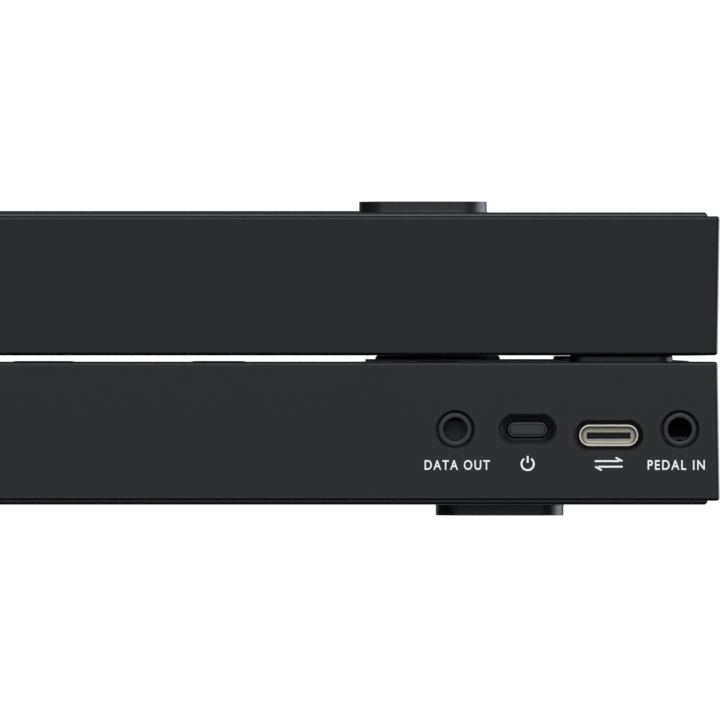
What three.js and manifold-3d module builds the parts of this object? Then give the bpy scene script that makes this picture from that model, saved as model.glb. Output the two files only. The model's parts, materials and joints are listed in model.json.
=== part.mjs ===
// A folding portable keyboard, folded shut: two slabs hinged at their inner ends, keys facing inwards.
// Millimetres. +X is the player's right, +Y the rear, +Z up. The left half lies on its feet, and the right
// half lies upside down on it. The origin is the centre of the whole object's footprint, on the floor.
import * as THREE from "three";
import { mergeVertices } from "three/addons/utils/BufferGeometryUtils.js";
import Module from "manifold-3d";

const wasm = await Module();
wasm.setup();

// ---- Driving dimensions ----
const DEPTH = 195; // front to rear
const RIM_Z = 23.25; // top of the case rim, above the floor
const CASE_BOTTOM_Z = 2.3; // lower edge of the case wall
const COVER_BOTTOM_Z = 1.7; // the base cover stands a little proud of the case
const COVER_THICKNESS = 2;
const COVER_INSET = 1.8; // from the case's outline
const FOLD_GAP = 0.93; // between the two rims when folded
const END_CLEARANCE = 0.3; // from each half's inner end to the hinge line
const DRAFT = 0.3; // the outer walls lean in by this much at the rim
const WALL = 2.5;
const HINGE_WALL = 1.2; // the thin wall beside the fold, so the keys run on evenly
const CLEARANCE = 0.3; // between pieces that touch

const KEY_PITCH = 23.5;
const OCTAVE = 7 * KEY_PITCH;
const KEY_GAP = 1; // between neighbouring white keys
const WHITE_TOP_Z = 13.7;
const LEFT_BLACK_TOP_Z = 23.35;
const RIGHT_BLACK_TOP_Z = 23.05; // lower, so black keys that meet when folded stay apart
const KEY_FRONT_Y = -94.5;
const BLACK_FRONT_Y = -48;
const KEY_HEAD_REAR_Y = 47; // the visible part of every key ends here, at the deck
const DECK_FRONT_Y = 47.5;
const TAIL_REAR_Y = 76;
const KEY_PLATE_Z = 11.2; // underside of every key, apart from its tail and its front skirt
const TAIL_WIDTH = 8;
const TAIL_TOP_Z = 12.4;
const TAIL_BOTTOM_Z = 10;
const TAIL_FOOT_Y = 62; // the tail drops to the rail behind this
const PIVOT_Y = 70;
const BLACK_BASE_WIDTH = 10.2;
const BLACK_TOP_WIDTH = 8.8;
const BLACK_SLOT = 11.5; // the notch in the white keys beside each black key
const LIP_Z = 10.2; // top of the front lip below the key fronts
const FOLD_WALL_Z = 12.7; // top of the hinge-side wall, just below the white keys

const CONTROL_WIDTH = 55.7; // control section at the left half's outer end
const LEFT_WHITES = 10; // C to E
const RIGHT_WHITES = 12; // F to C
const KEYS_FROM_HINGE = END_CLEARANCE + HINGE_WALL + CLEARANCE;
const HALF_LENGTH = HINGE_WALL + CLEARANCE + LEFT_WHITES * KEY_PITCH + CONTROL_WIDTH;
const OUTER_END = END_CLEARANCE + HALF_LENGTH; // from the hinge line

const BARREL_RADIUS = 2;
const PIN_RADIUS = 1;
const PIN_CLEARANCE = 0.05;
const HINGE_LENGTH = 45;
const HINGE_Y = 72.5; // middle of the hinge, on the rear deck
const KNUCKLES = 5;
const LEAF_THICKNESS = 1;
const LEAF_REACH = 17.5;
const FOLD_Z = RIM_Z + FOLD_GAP / 2;
const HINGE_X = (OUTER_END - BARREL_RADIUS) / 2; // centres the footprint on the origin

const FOOT_WIDTH = 19.3;
const FOOT_DEPTH = 12;
const FOOT_RADIUS = 4;
const FOOT_Y = 83.5;
const STRIP_Y = -45; // the long foot of the right half
const FOOT_TOP_Z = COVER_BOTTOM_Z - CLEARANCE;
const LEFT_FOOT_FROM_END = 33;
const RIGHT_FOOT_FROM_END = 44.6;
const STRIP_FROM_END = 34;
const PEG_RADIUS = 2.5;
const WEB_Z = [4, 4.7]; // the rubber web that joins the feet, above the cover
const WEB_WIDTH = 6;

// Ports on the rear wall of the left half: distance from the outer end, and height.
const DATA_JACK = { fromEnd: 39.8, z: 13.03 };
const POWER_BUTTON = { fromEnd: 28.9, z: 13.03 };
const USB_PORT = { fromEnd: 16.7, z: 12.13 };
const PEDAL_JACK = { fromEnd: 6, z: 13.03 };
const JACK_HOLE_RADIUS = 2.9;
const JACK_RING_RADIUS = 2.5;
const JACK_BORE_RADIUS = 1.775;
const REAR_Y = DEPTH / 2;

const KNOB_FROM_END = 42.3;
const KNOB_RADIUS = 9.5;
const KNOB_Y = 70;
const KNOB_STEM_RADIUS = 3;
const BUMPER_WIDTH = 15.6;
const BUMPER_FROM_END = 14.8;
const BUMPER_DEPTH = 6;
const BUMPER_ROOT_RADIUS = 1.6;
const BUMPER_Y = [92.5, -88];

// ---- Materials ----
const paint = (color, roughness, metalness = 0) =>
  new THREE.MeshStandardMaterial({ color, roughness, metalness });
const material = {
  caseBlack: paint(0x2b2c2e, 0.6),
  coverBlack: paint(0x242527, 0.7),
  rubber: paint(0x232425, 0.85),
  whiteKey: paint(0xf0efe9, 0.3),
  blackKey: paint(0x161617, 0.45),
  chassis: paint(0x3a3b3d, 0.7),
  board: paint(0x1d4a34, 0.5),
  steel: paint(0xb9b6ae, 0.35, 1),
  nickel: paint(0xc2bfb5, 0.3, 1),
  jack: paint(0x3a3b3d, 0.5),
  button: paint(0x3f4042, 0.55),
  knob: paint(0x1c1c1e, 0.5),
  overlay: paint(0x101113, 0.2),
  battery: paint(0x3f6fa0, 0.5),
};

// ---- Solids ----
// Turns a closed geometry into a solid that can be joined and cut.
function solid(geometry) {
  const bare = geometry.index ? geometry.toNonIndexed() : geometry.clone();
  bare.deleteAttribute("normal");
  bare.deleteAttribute("uv");
  const merged = mergeVertices(bare, 1e-4);
  return new wasm.Manifold(
    new wasm.Mesh({
      numProp: 3,
      vertProperties: merged.attributes.position.array,
      triVerts: new Uint32Array(merged.index.array),
    }),
  );
}

// Turns a finished solid back into a geometry.
function geometryOf(made) {
  const { numProp, vertProperties, triVerts } = made.getMesh();
  const geometry = new THREE.BufferGeometry();
  const corners = new Float32Array(triVerts.length * 3);
  triVerts.forEach((vertex, i) => {
    for (let axis = 0; axis < 3; axis++) corners[3 * i + axis] = vertProperties[vertex * numProp + axis];
  });
  geometry.setAttribute("position", new THREE.BufferAttribute(corners, 3));
  geometry.computeVertexNormals();
  return geometry;
}

// A box between two corners, given in any order on each axis.
function box([xa, xb], [ya, yb], [za, zb]) {
  const geometry = new THREE.BoxGeometry(Math.abs(xb - xa), Math.abs(yb - ya), Math.abs(zb - za));
  return solid(geometry.translate((xa + xb) / 2, (ya + yb) / 2, (za + zb) / 2));
}

// An outline is a shape already, or a list of points.
function shapeOf(outline) {
  if (outline instanceof THREE.Shape) return outline;
  return new THREE.Shape(outline.map(([a, b]) => new THREE.Vector2(a, b)));
}

// An outline of [x, y] points extruded upwards between two heights.
function plate(outline, [z0, z1]) {
  const options = { depth: z1 - z0, bevelEnabled: false, curveSegments: 4 };
  const geometry = new THREE.ExtrudeGeometry(shapeOf(outline), options);
  return solid(geometry.translate(0, 0, z0));
}

// An outline of [x, z] points extruded along Y.
function alongY(outline, [y0, y1]) {
  const options = { depth: y1 - y0, bevelEnabled: false, curveSegments: 6 };
  const geometry = new THREE.ExtrudeGeometry(shapeOf(outline), options);
  return solid(geometry.rotateX(Math.PI / 2).translate(0, y1, 0));
}

// An outline of [y, z] points extruded along X.
function alongX(outline, [x0, x1]) {
  const geometry = new THREE.ExtrudeGeometry(shapeOf(outline), { depth: x1 - x0, bevelEnabled: false });
  return solid(geometry.rotateX(Math.PI / 2).rotateZ(Math.PI / 2).translate(x0, 0, 0));
}

// A round bar along Y, centred on x and z.
function barY(x, z, radius, [y0, y1], sides = 32) {
  const geometry = new THREE.CylinderGeometry(radius, radius, y1 - y0, sides);
  return solid(geometry.translate(x, (y0 + y1) / 2, z));
}

// A round post along Z.
function post(x, y, radius, [z0, z1], sides = 12) {
  const geometry = new THREE.CylinderGeometry(radius, radius, z1 - z0, sides);
  return solid(geometry.rotateX(Math.PI / 2).translate(x, y, (z0 + z1) / 2));
}

// A rectangle with round corners, as a shape centred on a point.
function roundedShape(cx, cy, width, height, radius) {
  const [x0, x1, y0, y1] = [cx - width / 2, cx + width / 2, cy - height / 2, cy + height / 2];
  const shape = new THREE.Shape();
  shape.moveTo(x0 + radius, y0);
  shape.lineTo(x1 - radius, y0).absarc(x1 - radius, y0 + radius, radius, -Math.PI / 2, 0);
  shape.lineTo(x1, y1 - radius).absarc(x1 - radius, y1 - radius, radius, 0, Math.PI / 2);
  shape.lineTo(x0 + radius, y1).absarc(x0 + radius, y1 - radius, radius, Math.PI / 2, Math.PI);
  shape.lineTo(x0, y0 + radius).absarc(x0 + radius, y0 + radius, radius, Math.PI, Math.PI * 1.5);
  return shape;
}

const union = (...solids) => solids.reduce((whole, next) => whole.add(next));

function named(name, made, finish) {
  const mesh = new THREE.Mesh(geometryOf(made), finish);
  mesh.name = name;
  return mesh;
}

// ---- The two halves ----
// Each half is described unfolded, with the hinge line at x = 0. The left half runs to -X, the right to +X.
function half(side, whites) {
  const keysOuter = KEYS_FROM_HINGE + whites * KEY_PITCH;
  return {
    side,
    whites,
    // The span between two distances from the hinge line, and a point at a distance from the outer end.
    span: (near, far) => [side * near, side * far],
    fromEnd: (distance) => side * (OUTER_END - distance),
    keysOuter,
    firstKeyX: side < 0 ? -keysOuter : KEYS_FROM_HINGE,
  };
}
const left = half(-1, LEFT_WHITES);
const right = half(1, RIGHT_WHITES);

// Screw bosses hang from the deck: distances from the hinge line, with their y.
const BOSS_RADIUS = 3.5;
const BOSS_Y = 90.5;
const BOSS_PLACES = [75, 147, 219];
const SCREW_RADIUS = 1.5;
const SCREW_HEAD_RADIUS = 2.7; // of the countersink in the cover
const SCREW_HEAD_DEPTH = 1.1;

function caseShell({ span, keysOuter }) {
  const inner = RIM_Z - WALL;
  const [hingeX, outerX] = span(END_CLEARANCE, OUTER_END);
  const rimX = span(0, OUTER_END - DRAFT)[1];
  const outline = [[hingeX, CASE_BOTTOM_Z], [outerX, CASE_BOTTOM_Z], [rimX, RIM_Z], [hingeX, RIM_Z]];
  const rimY = REAR_Y - DRAFT;
  const endOutline = [[-REAR_Y, CASE_BOTTOM_Z], [REAR_Y, CASE_BOTTOM_Z], [rimY, RIM_Z], [-rimY, RIM_Z]];
  const cavityY = [-REAR_Y + WALL, REAR_Y - WALL];
  const keyWell = [END_CLEARANCE + HINGE_WALL, keysOuter];
  const rebate = COVER_INSET - CLEARANCE;
  const coverTop = COVER_BOTTOM_Z + COVER_THICKNESS + CLEARANCE;
  const rebateY = REAR_Y - rebate;
  const dividerBottom = 5;
  const dividerWidth = 2;
  let made = alongY(outline, [-REAR_Y, REAR_Y])
    .intersect(alongX(endOutline, [-OUTER_END - 1, OUTER_END + 1]));
  // The rebate for the base cover, then the two hollows, joined below the divider.
  made = made
    .subtract(box(span(END_CLEARANCE + rebate, OUTER_END - rebate), [-rebateY, rebateY], [0, coverTop]))
    .subtract(box(span(keyWell[0] + 1, OUTER_END - WALL), cavityY, [0, dividerBottom]))
    .subtract(box(span(...keyWell), cavityY, [0, inner]))
    .subtract(box(span(keysOuter + dividerWidth, OUTER_END - WALL), cavityY, [0, inner]));
  // The key opening, the low front lip, and the low wall beside the fold.
  made = made
    .subtract(box(span(...keyWell), [-REAR_Y + WALL, DECK_FRONT_Y], [inner - 1, RIM_Z + 1]))
    .subtract(box(span(0, keysOuter), [-REAR_Y - 1, -REAR_Y + WALL], [LIP_Z, RIM_Z + 1]))
    .subtract(box(span(0, keyWell[0] + 1), [-REAR_Y, DECK_FRONT_Y], [FOLD_WALL_Z, RIM_Z + 1]));
  for (const place of BOSS_PLACES)
    made = made.add(post(span(place, 0)[0], BOSS_Y, BOSS_RADIUS, [coverTop, inner + 1]));
  return hingeSeat(made, span);
}

// Thickens the deck under the hinge, then cuts the leaf's recess and the room for the barrel.
function hingeSeat(made, span) {
  const [y0, y1] = [HINGE_Y - HINGE_LENGTH / 2, HINGE_Y + HINGE_LENGTH / 2];
  const leafFloor = RIM_Z - LEAF_THICKNESS - 0.4;
  const barrelRoom = BARREL_RADIUS + 0.4;
  return made
    .add(box(span(END_CLEARANCE + 0.2, LEAF_REACH + 3), [y0 - 2, y1 + 1], [16, RIM_Z - 1]))
    .subtract(box(span(0, LEAF_REACH + CLEARANCE), [y0 - CLEARANCE, y1 + CLEARANCE], [leafFloor, RIM_Z + 1]))
    .subtract(barY(0, FOLD_Z, barrelRoom, [y0 - CLEARANCE, y1 + CLEARANCE], 24));
}

function portHoles(made) {
  const throughWall = [REAR_Y - WALL - 1, REAR_Y + 1];
  const dishY = [REAR_Y - 1, REAR_Y + 1];
  const at = (port, width, height, radius) =>
    roundedShape(left.fromEnd(port.fromEnd), port.z, width, height, radius);
  return made
    .subtract(barY(left.fromEnd(DATA_JACK.fromEnd), DATA_JACK.z, JACK_HOLE_RADIUS, throughWall))
    .subtract(barY(left.fromEnd(PEDAL_JACK.fromEnd), PEDAL_JACK.z, JACK_HOLE_RADIUS, throughWall))
    .subtract(alongY(at(POWER_BUTTON, 8.6, 4.8, 2.39), dishY))
    .subtract(alongY(at(POWER_BUTTON, 6.8, 3.05, 1.52), throughWall))
    .subtract(alongY(at(USB_PORT, 10.3, 4.7, 2.34), throughWall));
}

// The pegs of the feet pass through the cover; their places are shared with the feet.
const feetOf = {
  left: [LEFT_FOOT_FROM_END, HALF_LENGTH - LEFT_FOOT_FROM_END].flatMap((d) =>
    [FOOT_Y, -FOOT_Y].map((y) => ({ x: left.fromEnd(d), y, width: FOOT_WIDTH }))),
  right: [
    { x: right.fromEnd(RIGHT_FOOT_FROM_END), y: FOOT_Y, width: FOOT_WIDTH },
    { x: right.fromEnd(HALF_LENGTH - RIGHT_FOOT_FROM_END), y: FOOT_Y, width: FOOT_WIDTH },
    { x: right.fromEnd(HALF_LENGTH / 2), y: STRIP_Y, width: HALF_LENGTH - 2 * STRIP_FROM_END },
  ],
};

// The flat plate under a half, with holes for the pegs of the feet and countersunk holes for its screws.
function baseCover({ span }, feet) {
  const y = REAR_Y - COVER_INSET;
  let made = box(
    span(END_CLEARANCE + COVER_INSET, OUTER_END - COVER_INSET),
    [-y, y],
    [COVER_BOTTOM_Z, COVER_BOTTOM_Z + COVER_THICKNESS],
  );
  for (const foot of feet) made = made.subtract(post(foot.x, foot.y, PEG_RADIUS + CLEARANCE, [0, 5]));
  for (const place of BOSS_PLACES) {
    const [x] = span(place, 0);
    made = made
      .subtract(post(x, BOSS_Y, SCREW_RADIUS, [0, 5]))
      .subtract(post(x, BOSS_Y, SCREW_HEAD_RADIUS, [0, COVER_BOTTOM_Z + SCREW_HEAD_DEPTH], 24));
  }
  return made;
}

// Each half's feet are one rubber moulding: pads below, pegs through the cover, and a web above it.
function feetMoulding(feet) {
  const rear = feet.filter((foot) => foot.y > 0).map((foot) => foot.x);
  const front = feet.filter((foot) => foot.y < 0).map((foot) => foot.x);
  const frontY = Math.min(...feet.map((foot) => foot.y));
  const w = WEB_WIDTH / 2;
  const run = (xs, y) => box([Math.min(...xs) - w, Math.max(...xs) + w], [y - w, y + w], WEB_Z);
  const crossX = front[0];
  const webs = [
    run([...rear, crossX], FOOT_Y),
    run(front, frontY),
    box([crossX - w, crossX + w], [frontY, FOOT_Y], WEB_Z),
  ];
  const pads = feet.map((foot) =>
    plate(roundedShape(foot.x, foot.y, foot.width, FOOT_DEPTH, FOOT_RADIUS), [0, FOOT_TOP_Z]));
  const pegs = feet.map((foot) => post(foot.x, foot.y, PEG_RADIUS, [FOOT_TOP_Z - 0.5, WEB_Z[0] + 0.35]));
  return union(...webs, ...pads, ...pegs);
}

// ---- Keys ----
const SEMITONE = OCTAVE / 12;
const NOTE_NAMES = ["c", "d", "e", "f", "g", "a", "b"];
const BLACK_AFTER = { c: 1, d: 3, f: 6, g: 8, a: 10 }; // semitones of each black key above C

// Black key centres, counted from a C, for every octave that a half may touch.
function blackCentres(fromOctave, toOctave) {
  const centres = [];
  for (let octave = fromOctave; octave <= toOctave; octave++)
    for (const [note, semitone] of Object.entries(BLACK_AFTER))
      centres.push({ note, octave, x: octave * OCTAVE + (semitone + 0.5) * SEMITONE });
  return centres;
}

const whiteProfile = [
  [KEY_FRONT_Y, 9.2], [-92, 9.2], [-92, KEY_PLATE_Z], [60, KEY_PLATE_Z], [TAIL_FOOT_Y, TAIL_BOTTOM_Z],
  [TAIL_REAR_Y, TAIL_BOTTOM_Z], [TAIL_REAR_Y, TAIL_TOP_Z],
  [KEY_HEAD_REAR_Y, TAIL_TOP_Z], [KEY_HEAD_REAR_Y, WHITE_TOP_Z],
  [KEY_FRONT_Y + 0.4, WHITE_TOP_Z], [KEY_FRONT_Y, WHITE_TOP_Z - 0.4],
];
const blackProfile = (topZ) => [
  [BLACK_FRONT_Y, KEY_PLATE_Z], [KEY_HEAD_REAR_Y, KEY_PLATE_Z], [KEY_HEAD_REAR_Y, topZ],
  [BLACK_FRONT_Y + 5, topZ], [BLACK_FRONT_Y + 3.2, topZ - 1],
];

// A white key in a cell that starts at x0, notched where black keys pass and narrowed to its tail.
function whiteKey(x0, slots) {
  const [frontLeft, frontRight] = [x0 + KEY_GAP / 2, x0 + KEY_PITCH - KEY_GAP / 2];
  const middle = x0 + KEY_PITCH / 2;
  const slotEdges = slots.map((x) => [x - BLACK_SLOT / 2, x + BLACK_SLOT / 2]);
  const onLeft = slotEdges.filter(([a, b]) => a < frontLeft && b > frontLeft).map(([, b]) => b);
  const onRight = slotEdges.filter(([a, b]) => a < frontRight && b > frontRight).map(([a]) => a);
  const [rearLeft, rearRight] = [onLeft[0] ?? frontLeft, onRight[0] ?? frontRight];
  const notchY = BLACK_FRONT_Y - 0.7;
  const tailMiddle = (rearLeft + rearRight) / 2;
  const head = box([frontLeft, frontRight], [KEY_FRONT_Y - 1, notchY], [0, 20])
    .add(box([rearLeft, rearRight], [notchY - 1, KEY_HEAD_REAR_Y], [0, 20]))
    .add(box([tailMiddle - TAIL_WIDTH / 2, tailMiddle + TAIL_WIDTH / 2], [KEY_HEAD_REAR_Y - 1, 80], [0, 20]));
  return head.intersect(alongX(whiteProfile, [middle - KEY_PITCH, middle + KEY_PITCH]));
}

// A black key centred on x, tapering upwards to its top, with the same low tail.
function blackKey(x, topZ) {
  const [base, top] = [BLACK_BASE_WIDTH / 2, BLACK_TOP_WIDTH / 2];
  const section = [[x - base, 11], [x + base, 11], [x + top, topZ + 0.1], [x - top, topZ + 0.1]];
  const head = alongY(section, [BLACK_FRONT_Y - 1, KEY_HEAD_REAR_Y + 1])
    .intersect(alongX(blackProfile(topZ), [x - BLACK_BASE_WIDTH, x + BLACK_BASE_WIDTH]));
  const tailX = [x - TAIL_WIDTH / 2, x + TAIL_WIDTH / 2];
  return union(
    head,
    box(tailX, [KEY_HEAD_REAR_Y - 5, TAIL_REAR_Y], [11.3, TAIL_TOP_Z]),
    box(tailX, [TAIL_FOOT_Y, TAIL_REAR_Y], [TAIL_BOTTOM_Z, TAIL_TOP_Z]),
  );
}

// All the keys of one half. firstNote is the index in NOTE_NAMES of its lowest white key.
function keysOf({ firstKeyX, whites }, blackTopZ, firstNote, firstOctave) {
  const cX = firstKeyX - firstNote * KEY_PITCH; // where the C of the first octave would start
  const lastX = firstKeyX + whites * KEY_PITCH;
  const blacks = blackCentres(0, 2)
    .map((black) => ({ ...black, x: black.x + cX }))
    .filter(({ x }) => x > firstKeyX && x + BLACK_SLOT / 2 < lastX);
  const meshes = [];
  for (let i = 0; i < whites; i++) {
    const step = firstNote + i;
    const name = `key_${NOTE_NAMES[step % 7]}${firstOctave + Math.floor(step / 7)}`;
    const made = whiteKey(firstKeyX + i * KEY_PITCH, blacks.map(({ x }) => x));
    meshes.push(named(name, made, material.whiteKey));
  }
  for (const { note, octave, x } of blacks)
    meshes.push(named(`key_${note}s${firstOctave + octave}`, blackKey(x, blackTopZ), material.blackKey));
  return { meshes, blacks };
}
const leftKeys = keysOf(left, LEFT_BLACK_TOP_Z, 0, 3);
const rightKeys = keysOf(right, RIGHT_BLACK_TOP_Z, 3, 4);

// ---- Under the keys ----
// The chassis: a ribbed tray with the pivot rail that every key tail rests on, and a stop behind it.
const CHASSIS_Z = [5, 6.5];
const CHASSIS_Y = [-88, 80];
const RAIL_WIDTH = 8;
const BOARD_THICKNESS = 1.6;
const CONTACT_BOARD_Y = [5, 35];
const WHITE_PAD_Y = 12;
const BLACK_PAD_Y = 28;
function keyChassis({ span, keysOuter }) {
  const x = span(KEYS_FROM_HINGE + 0.5, keysOuter - 0.5);
  const seatTop = TAIL_BOTTOM_Z - CLEARANCE;
  const railY = [PIVOT_Y - RAIL_WIDTH / 2, PIVOT_Y + RAIL_WIDTH / 2];
  let made = box(x, CHASSIS_Y, CHASSIS_Z)
    .add(box(x, railY, [CHASSIS_Z[1] - 0.5, seatTop]))
    .add(box(x, [TAIL_REAR_Y + 1, CHASSIS_Y[1]], [CHASSIS_Z[1] - 0.5, TAIL_TOP_Z + 1]));
  // Lightening slots, one under each pair of keys, away from the board.
  const slots = Math.floor((keysOuter - KEYS_FROM_HINGE) / (2 * KEY_PITCH));
  for (let i = 0; i < slots; i++) {
    const near = KEYS_FROM_HINGE + (2 * i + 0.4) * KEY_PITCH;
    made = made.subtract(box(span(near, near + KEY_PITCH), [-75, -10], [0, 10]));
  }
  return made;
}

// The contact board on the chassis: one rubber dome pad for each key.
function contactBoard({ span, keysOuter, firstKeyX, whites }, blacks) {
  const boardZ = [CHASSIS_Z[1] + CLEARANCE, CHASSIS_Z[1] + CLEARANCE + BOARD_THICKNESS];
  let made = box(span(KEYS_FROM_HINGE + 3, keysOuter - 3), CONTACT_BOARD_Y, boardZ);
  const pad = (x, y) => box([x - 2.5, x + 2.5], [y - 2, y + 2], [boardZ[1] - 0.2, boardZ[1] + 0.7]);
  for (let i = 0; i < whites; i++) made = made.add(pad(firstKeyX + (i + 0.5) * KEY_PITCH, WHITE_PAD_Y));
  for (const { x } of blacks) made = made.add(pad(x, BLACK_PAD_Y));
  return made;
}

// ---- The control section ----
const BOARD_TOP_Z = 9.4;
const JACK_FACE_Y = REAR_Y - 0.3;
const JACK_BODY_LENGTH = 13;
const USB_FACE_Y = REAR_Y - 0.4;
const USB_LENGTH = 8.6;
const BUTTON_FACE_Y = REAR_Y - 0.6;
const INSIDE_Y = REAR_Y - WALL - CLEARANCE; // just inside the rear wall

// A round socket: a block on the board, with a ring that stands in the wall's hole.
function jackSocket(port) {
  const x = left.fromEnd(port.fromEnd);
  const r = JACK_HOLE_RADIUS;
  return box([x - r, x + r], [INSIDE_Y - JACK_BODY_LENGTH, INSIDE_Y], [BOARD_TOP_Z + CLEARANCE, port.z + r])
    .add(barY(x, port.z, JACK_RING_RADIUS, [INSIDE_Y - 1, JACK_FACE_Y]))
    .subtract(barY(x, port.z, JACK_BORE_RADIUS, [INSIDE_Y - 10, REAR_Y + 1], 24));
}

// The receptacle: a round-ended shell, hollow, with the contact tongue standing in it.
function usbSocket() {
  const x = left.fromEnd(USB_PORT.fromEnd);
  const shell = (width, height, ys) =>
    alongY(roundedShape(x, USB_PORT.z, width, height, height / 2 - 0.01), ys);
  const rear = USB_FACE_Y - USB_LENGTH;
  return shell(8.94, 3.26, [rear, USB_FACE_Y])
    .subtract(shell(8.34, 2.66, [rear + 1.5, REAR_Y + 1]))
    .add(box([x - 3.35, x + 3.35], [rear + 1, USB_FACE_Y - 0.5], [USB_PORT.z - 0.4, USB_PORT.z + 0.4]));
}

// The power button: a round-ended cap in front of the wall's hole, held by a flange behind it.
function powerButton() {
  const { fromEnd, z } = POWER_BUTTON;
  const x = left.fromEnd(fromEnd);
  return alongY(roundedShape(x, z, 6.2, 2.45, 1.22), [INSIDE_Y - 1, BUTTON_FACE_Y])
    .add(box([x - 4.2, x + 4.2], [INSIDE_Y - 1.2, INSIDE_Y], [z - 2.2, z + 2.2]));
}

const OVERLAY_Y = [-60, 81];
// The overlay is a thin raised label with a hole for the knob, thinned towards the outer end.
function controlOverlay() {
  const [far, near] = [left.fromEnd(4.3), left.fromEnd(53.3)];
  const z0 = RIM_Z + 0.02;
  const section = [[far, z0], [near, z0], [near, z0 + 0.38], [far + 5, z0 + 0.38], [far, z0 + 0.1]];
  const knobHole = post(left.fromEnd(KNOB_FROM_END), KNOB_Y, KNOB_RADIUS + 0.5, [RIM_Z - 1, RIM_Z + 2], 32);
  return alongY(section, OVERLAY_Y).subtract(knobHole);
}

function controlKnob() {
  const x = left.fromEnd(KNOB_FROM_END);
  const profile = [
    [0, RIM_Z - 4.6], [KNOB_STEM_RADIUS, RIM_Z - 4.6], [KNOB_STEM_RADIUS, RIM_Z + 0.1],
    [KNOB_RADIUS, RIM_Z + 0.1], [KNOB_RADIUS, RIM_Z + 0.65],
    [KNOB_RADIUS - 0.15, RIM_Z + 0.8], [0, RIM_Z + 0.8],
  ];
  const lathe = new THREE.LatheGeometry(profile.map(([r, z]) => new THREE.Vector2(r, z)), 32);
  return solid(lathe.rotateX(Math.PI / 2).translate(x, KNOB_Y, 0));
}

// The bumpers hold the folded halves apart. Each has a root that sits in a hole of the deck.
function bumper(y) {
  const x = left.fromEnd(BUMPER_FROM_END);
  const top = RIM_Z + FOLD_GAP - CLEARANCE;
  return plate(roundedShape(x, y, BUMPER_WIDTH, BUMPER_DEPTH, 2.5), [RIM_Z + 0.02, top])
    .add(post(x, y, BUMPER_ROOT_RADIUS, [RIM_Z - WALL - 1, RIM_Z + 0.1]));
}

function leftCase() {
  const throughDeck = [RIM_Z - WALL - 1, RIM_Z + 1];
  const knobX = left.fromEnd(KNOB_FROM_END);
  const bumperX = left.fromEnd(BUMPER_FROM_END);
  const knobHole = post(knobX, KNOB_Y, KNOB_STEM_RADIUS + CLEARANCE, throughDeck, 24);
  let made = portHoles(caseShell(left)).subtract(knobHole);
  for (const y of BUMPER_Y) made = made.subtract(post(bumperX, y, BUMPER_ROOT_RADIUS + 0.1, throughDeck));
  return made;
}

const controlInner = left.keysOuter + 2;
const MAIN_BOARD_Y = [40, REAR_Y - WALL - 0.8];
const BATTERY_Y = [-90, 30];
const BATTERY_Z = [5.2, 17];

// The main board, with its chip and the block of the power switch.
function mainBoard() {
  const boardX = [-controlInner - 0.5, -OUTER_END + WALL + 0.5];
  const chipX = [left.fromEnd(36), left.fromEnd(24)];
  const switchX = [left.fromEnd(33), left.fromEnd(24)];
  return box(boardX, MAIN_BOARD_Y, [BOARD_TOP_Z - BOARD_THICKNESS, BOARD_TOP_Z])
    .add(box(chipX, [48, 60], [BOARD_TOP_Z - 0.2, BOARD_TOP_Z + 1]))
    .add(box(switchX, [80, 90], [BOARD_TOP_Z - 0.2, BOARD_TOP_Z + 4]));
}
const batteryPack = () => box([-controlInner - 4, -OUTER_END + WALL + 4], BATTERY_Y, BATTERY_Z);

// ---- The fold hinge ----
// Knuckles alternate between the leaves, and the pin runs through them all.
function hingeLeaf(side, first) {
  const y0 = HINGE_Y - HINGE_LENGTH / 2;
  const step = HINGE_LENGTH / KNUCKLES;
  const leafZ = [RIM_Z - 0.1 - LEAF_THICKNESS, RIM_Z - 0.1];
  const shape = [side * (BARREL_RADIUS + 0.6), side * LEAF_REACH];
  let made = box(shape, [y0, y0 + HINGE_LENGTH], leafZ);
  for (let i = first; i < KNUCKLES; i += 2) {
    const ys = [y0 + i * step + 0.15, y0 + (i + 1) * step - 0.15];
    made = made
      .add(barY(0, FOLD_Z, BARREL_RADIUS, ys, 24))
      .add(box([0, side * (BARREL_RADIUS + 1)], ys, leafZ));
  }
  return made.subtract(barY(0, FOLD_Z, PIN_RADIUS + PIN_CLEARANCE, [y0 - 1, y0 + HINGE_LENGTH + 1], 16));
}
const hingePin = () =>
  barY(0, FOLD_Z, PIN_RADIUS, [HINGE_Y - HINGE_LENGTH / 2 - 0.1, HINGE_Y + HINGE_LENGTH / 2 + 0.1], 16);

// ---- Assembly ----
const leftHalf = new THREE.Group();
leftHalf.add(
  named("left_case", leftCase(), material.caseBlack),
  named("left_base_cover", baseCover(left, feetOf.left), material.coverBlack),
  named("left_feet", feetMoulding(feetOf.left), material.rubber),
  named("left_key_chassis", keyChassis(left), material.chassis),
  named("left_contact_board", contactBoard(left, leftKeys.blacks), material.board),
  ...leftKeys.meshes,
  named("main_board", mainBoard(), material.board),
  named("battery_pack", batteryPack(), material.battery),
  named("data_jack", jackSocket(DATA_JACK), material.jack),
  named("pedal_jack", jackSocket(PEDAL_JACK), material.jack),
  named("usb_socket", usbSocket(), material.nickel),
  named("power_button", powerButton(), material.button),
  named("control_overlay", controlOverlay(), material.overlay),
  named("control_knob", controlKnob(), material.knob),
  named("rear_bumper", bumper(BUMPER_Y[0]), material.rubber),
  named("front_bumper", bumper(BUMPER_Y[1]), material.rubber),
  named("hinge_left_leaf", hingeLeaf(-1, 0), material.steel),
  named("hinge_pin", hingePin(), material.steel),
);
leftHalf.position.x = HINGE_X;

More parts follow.
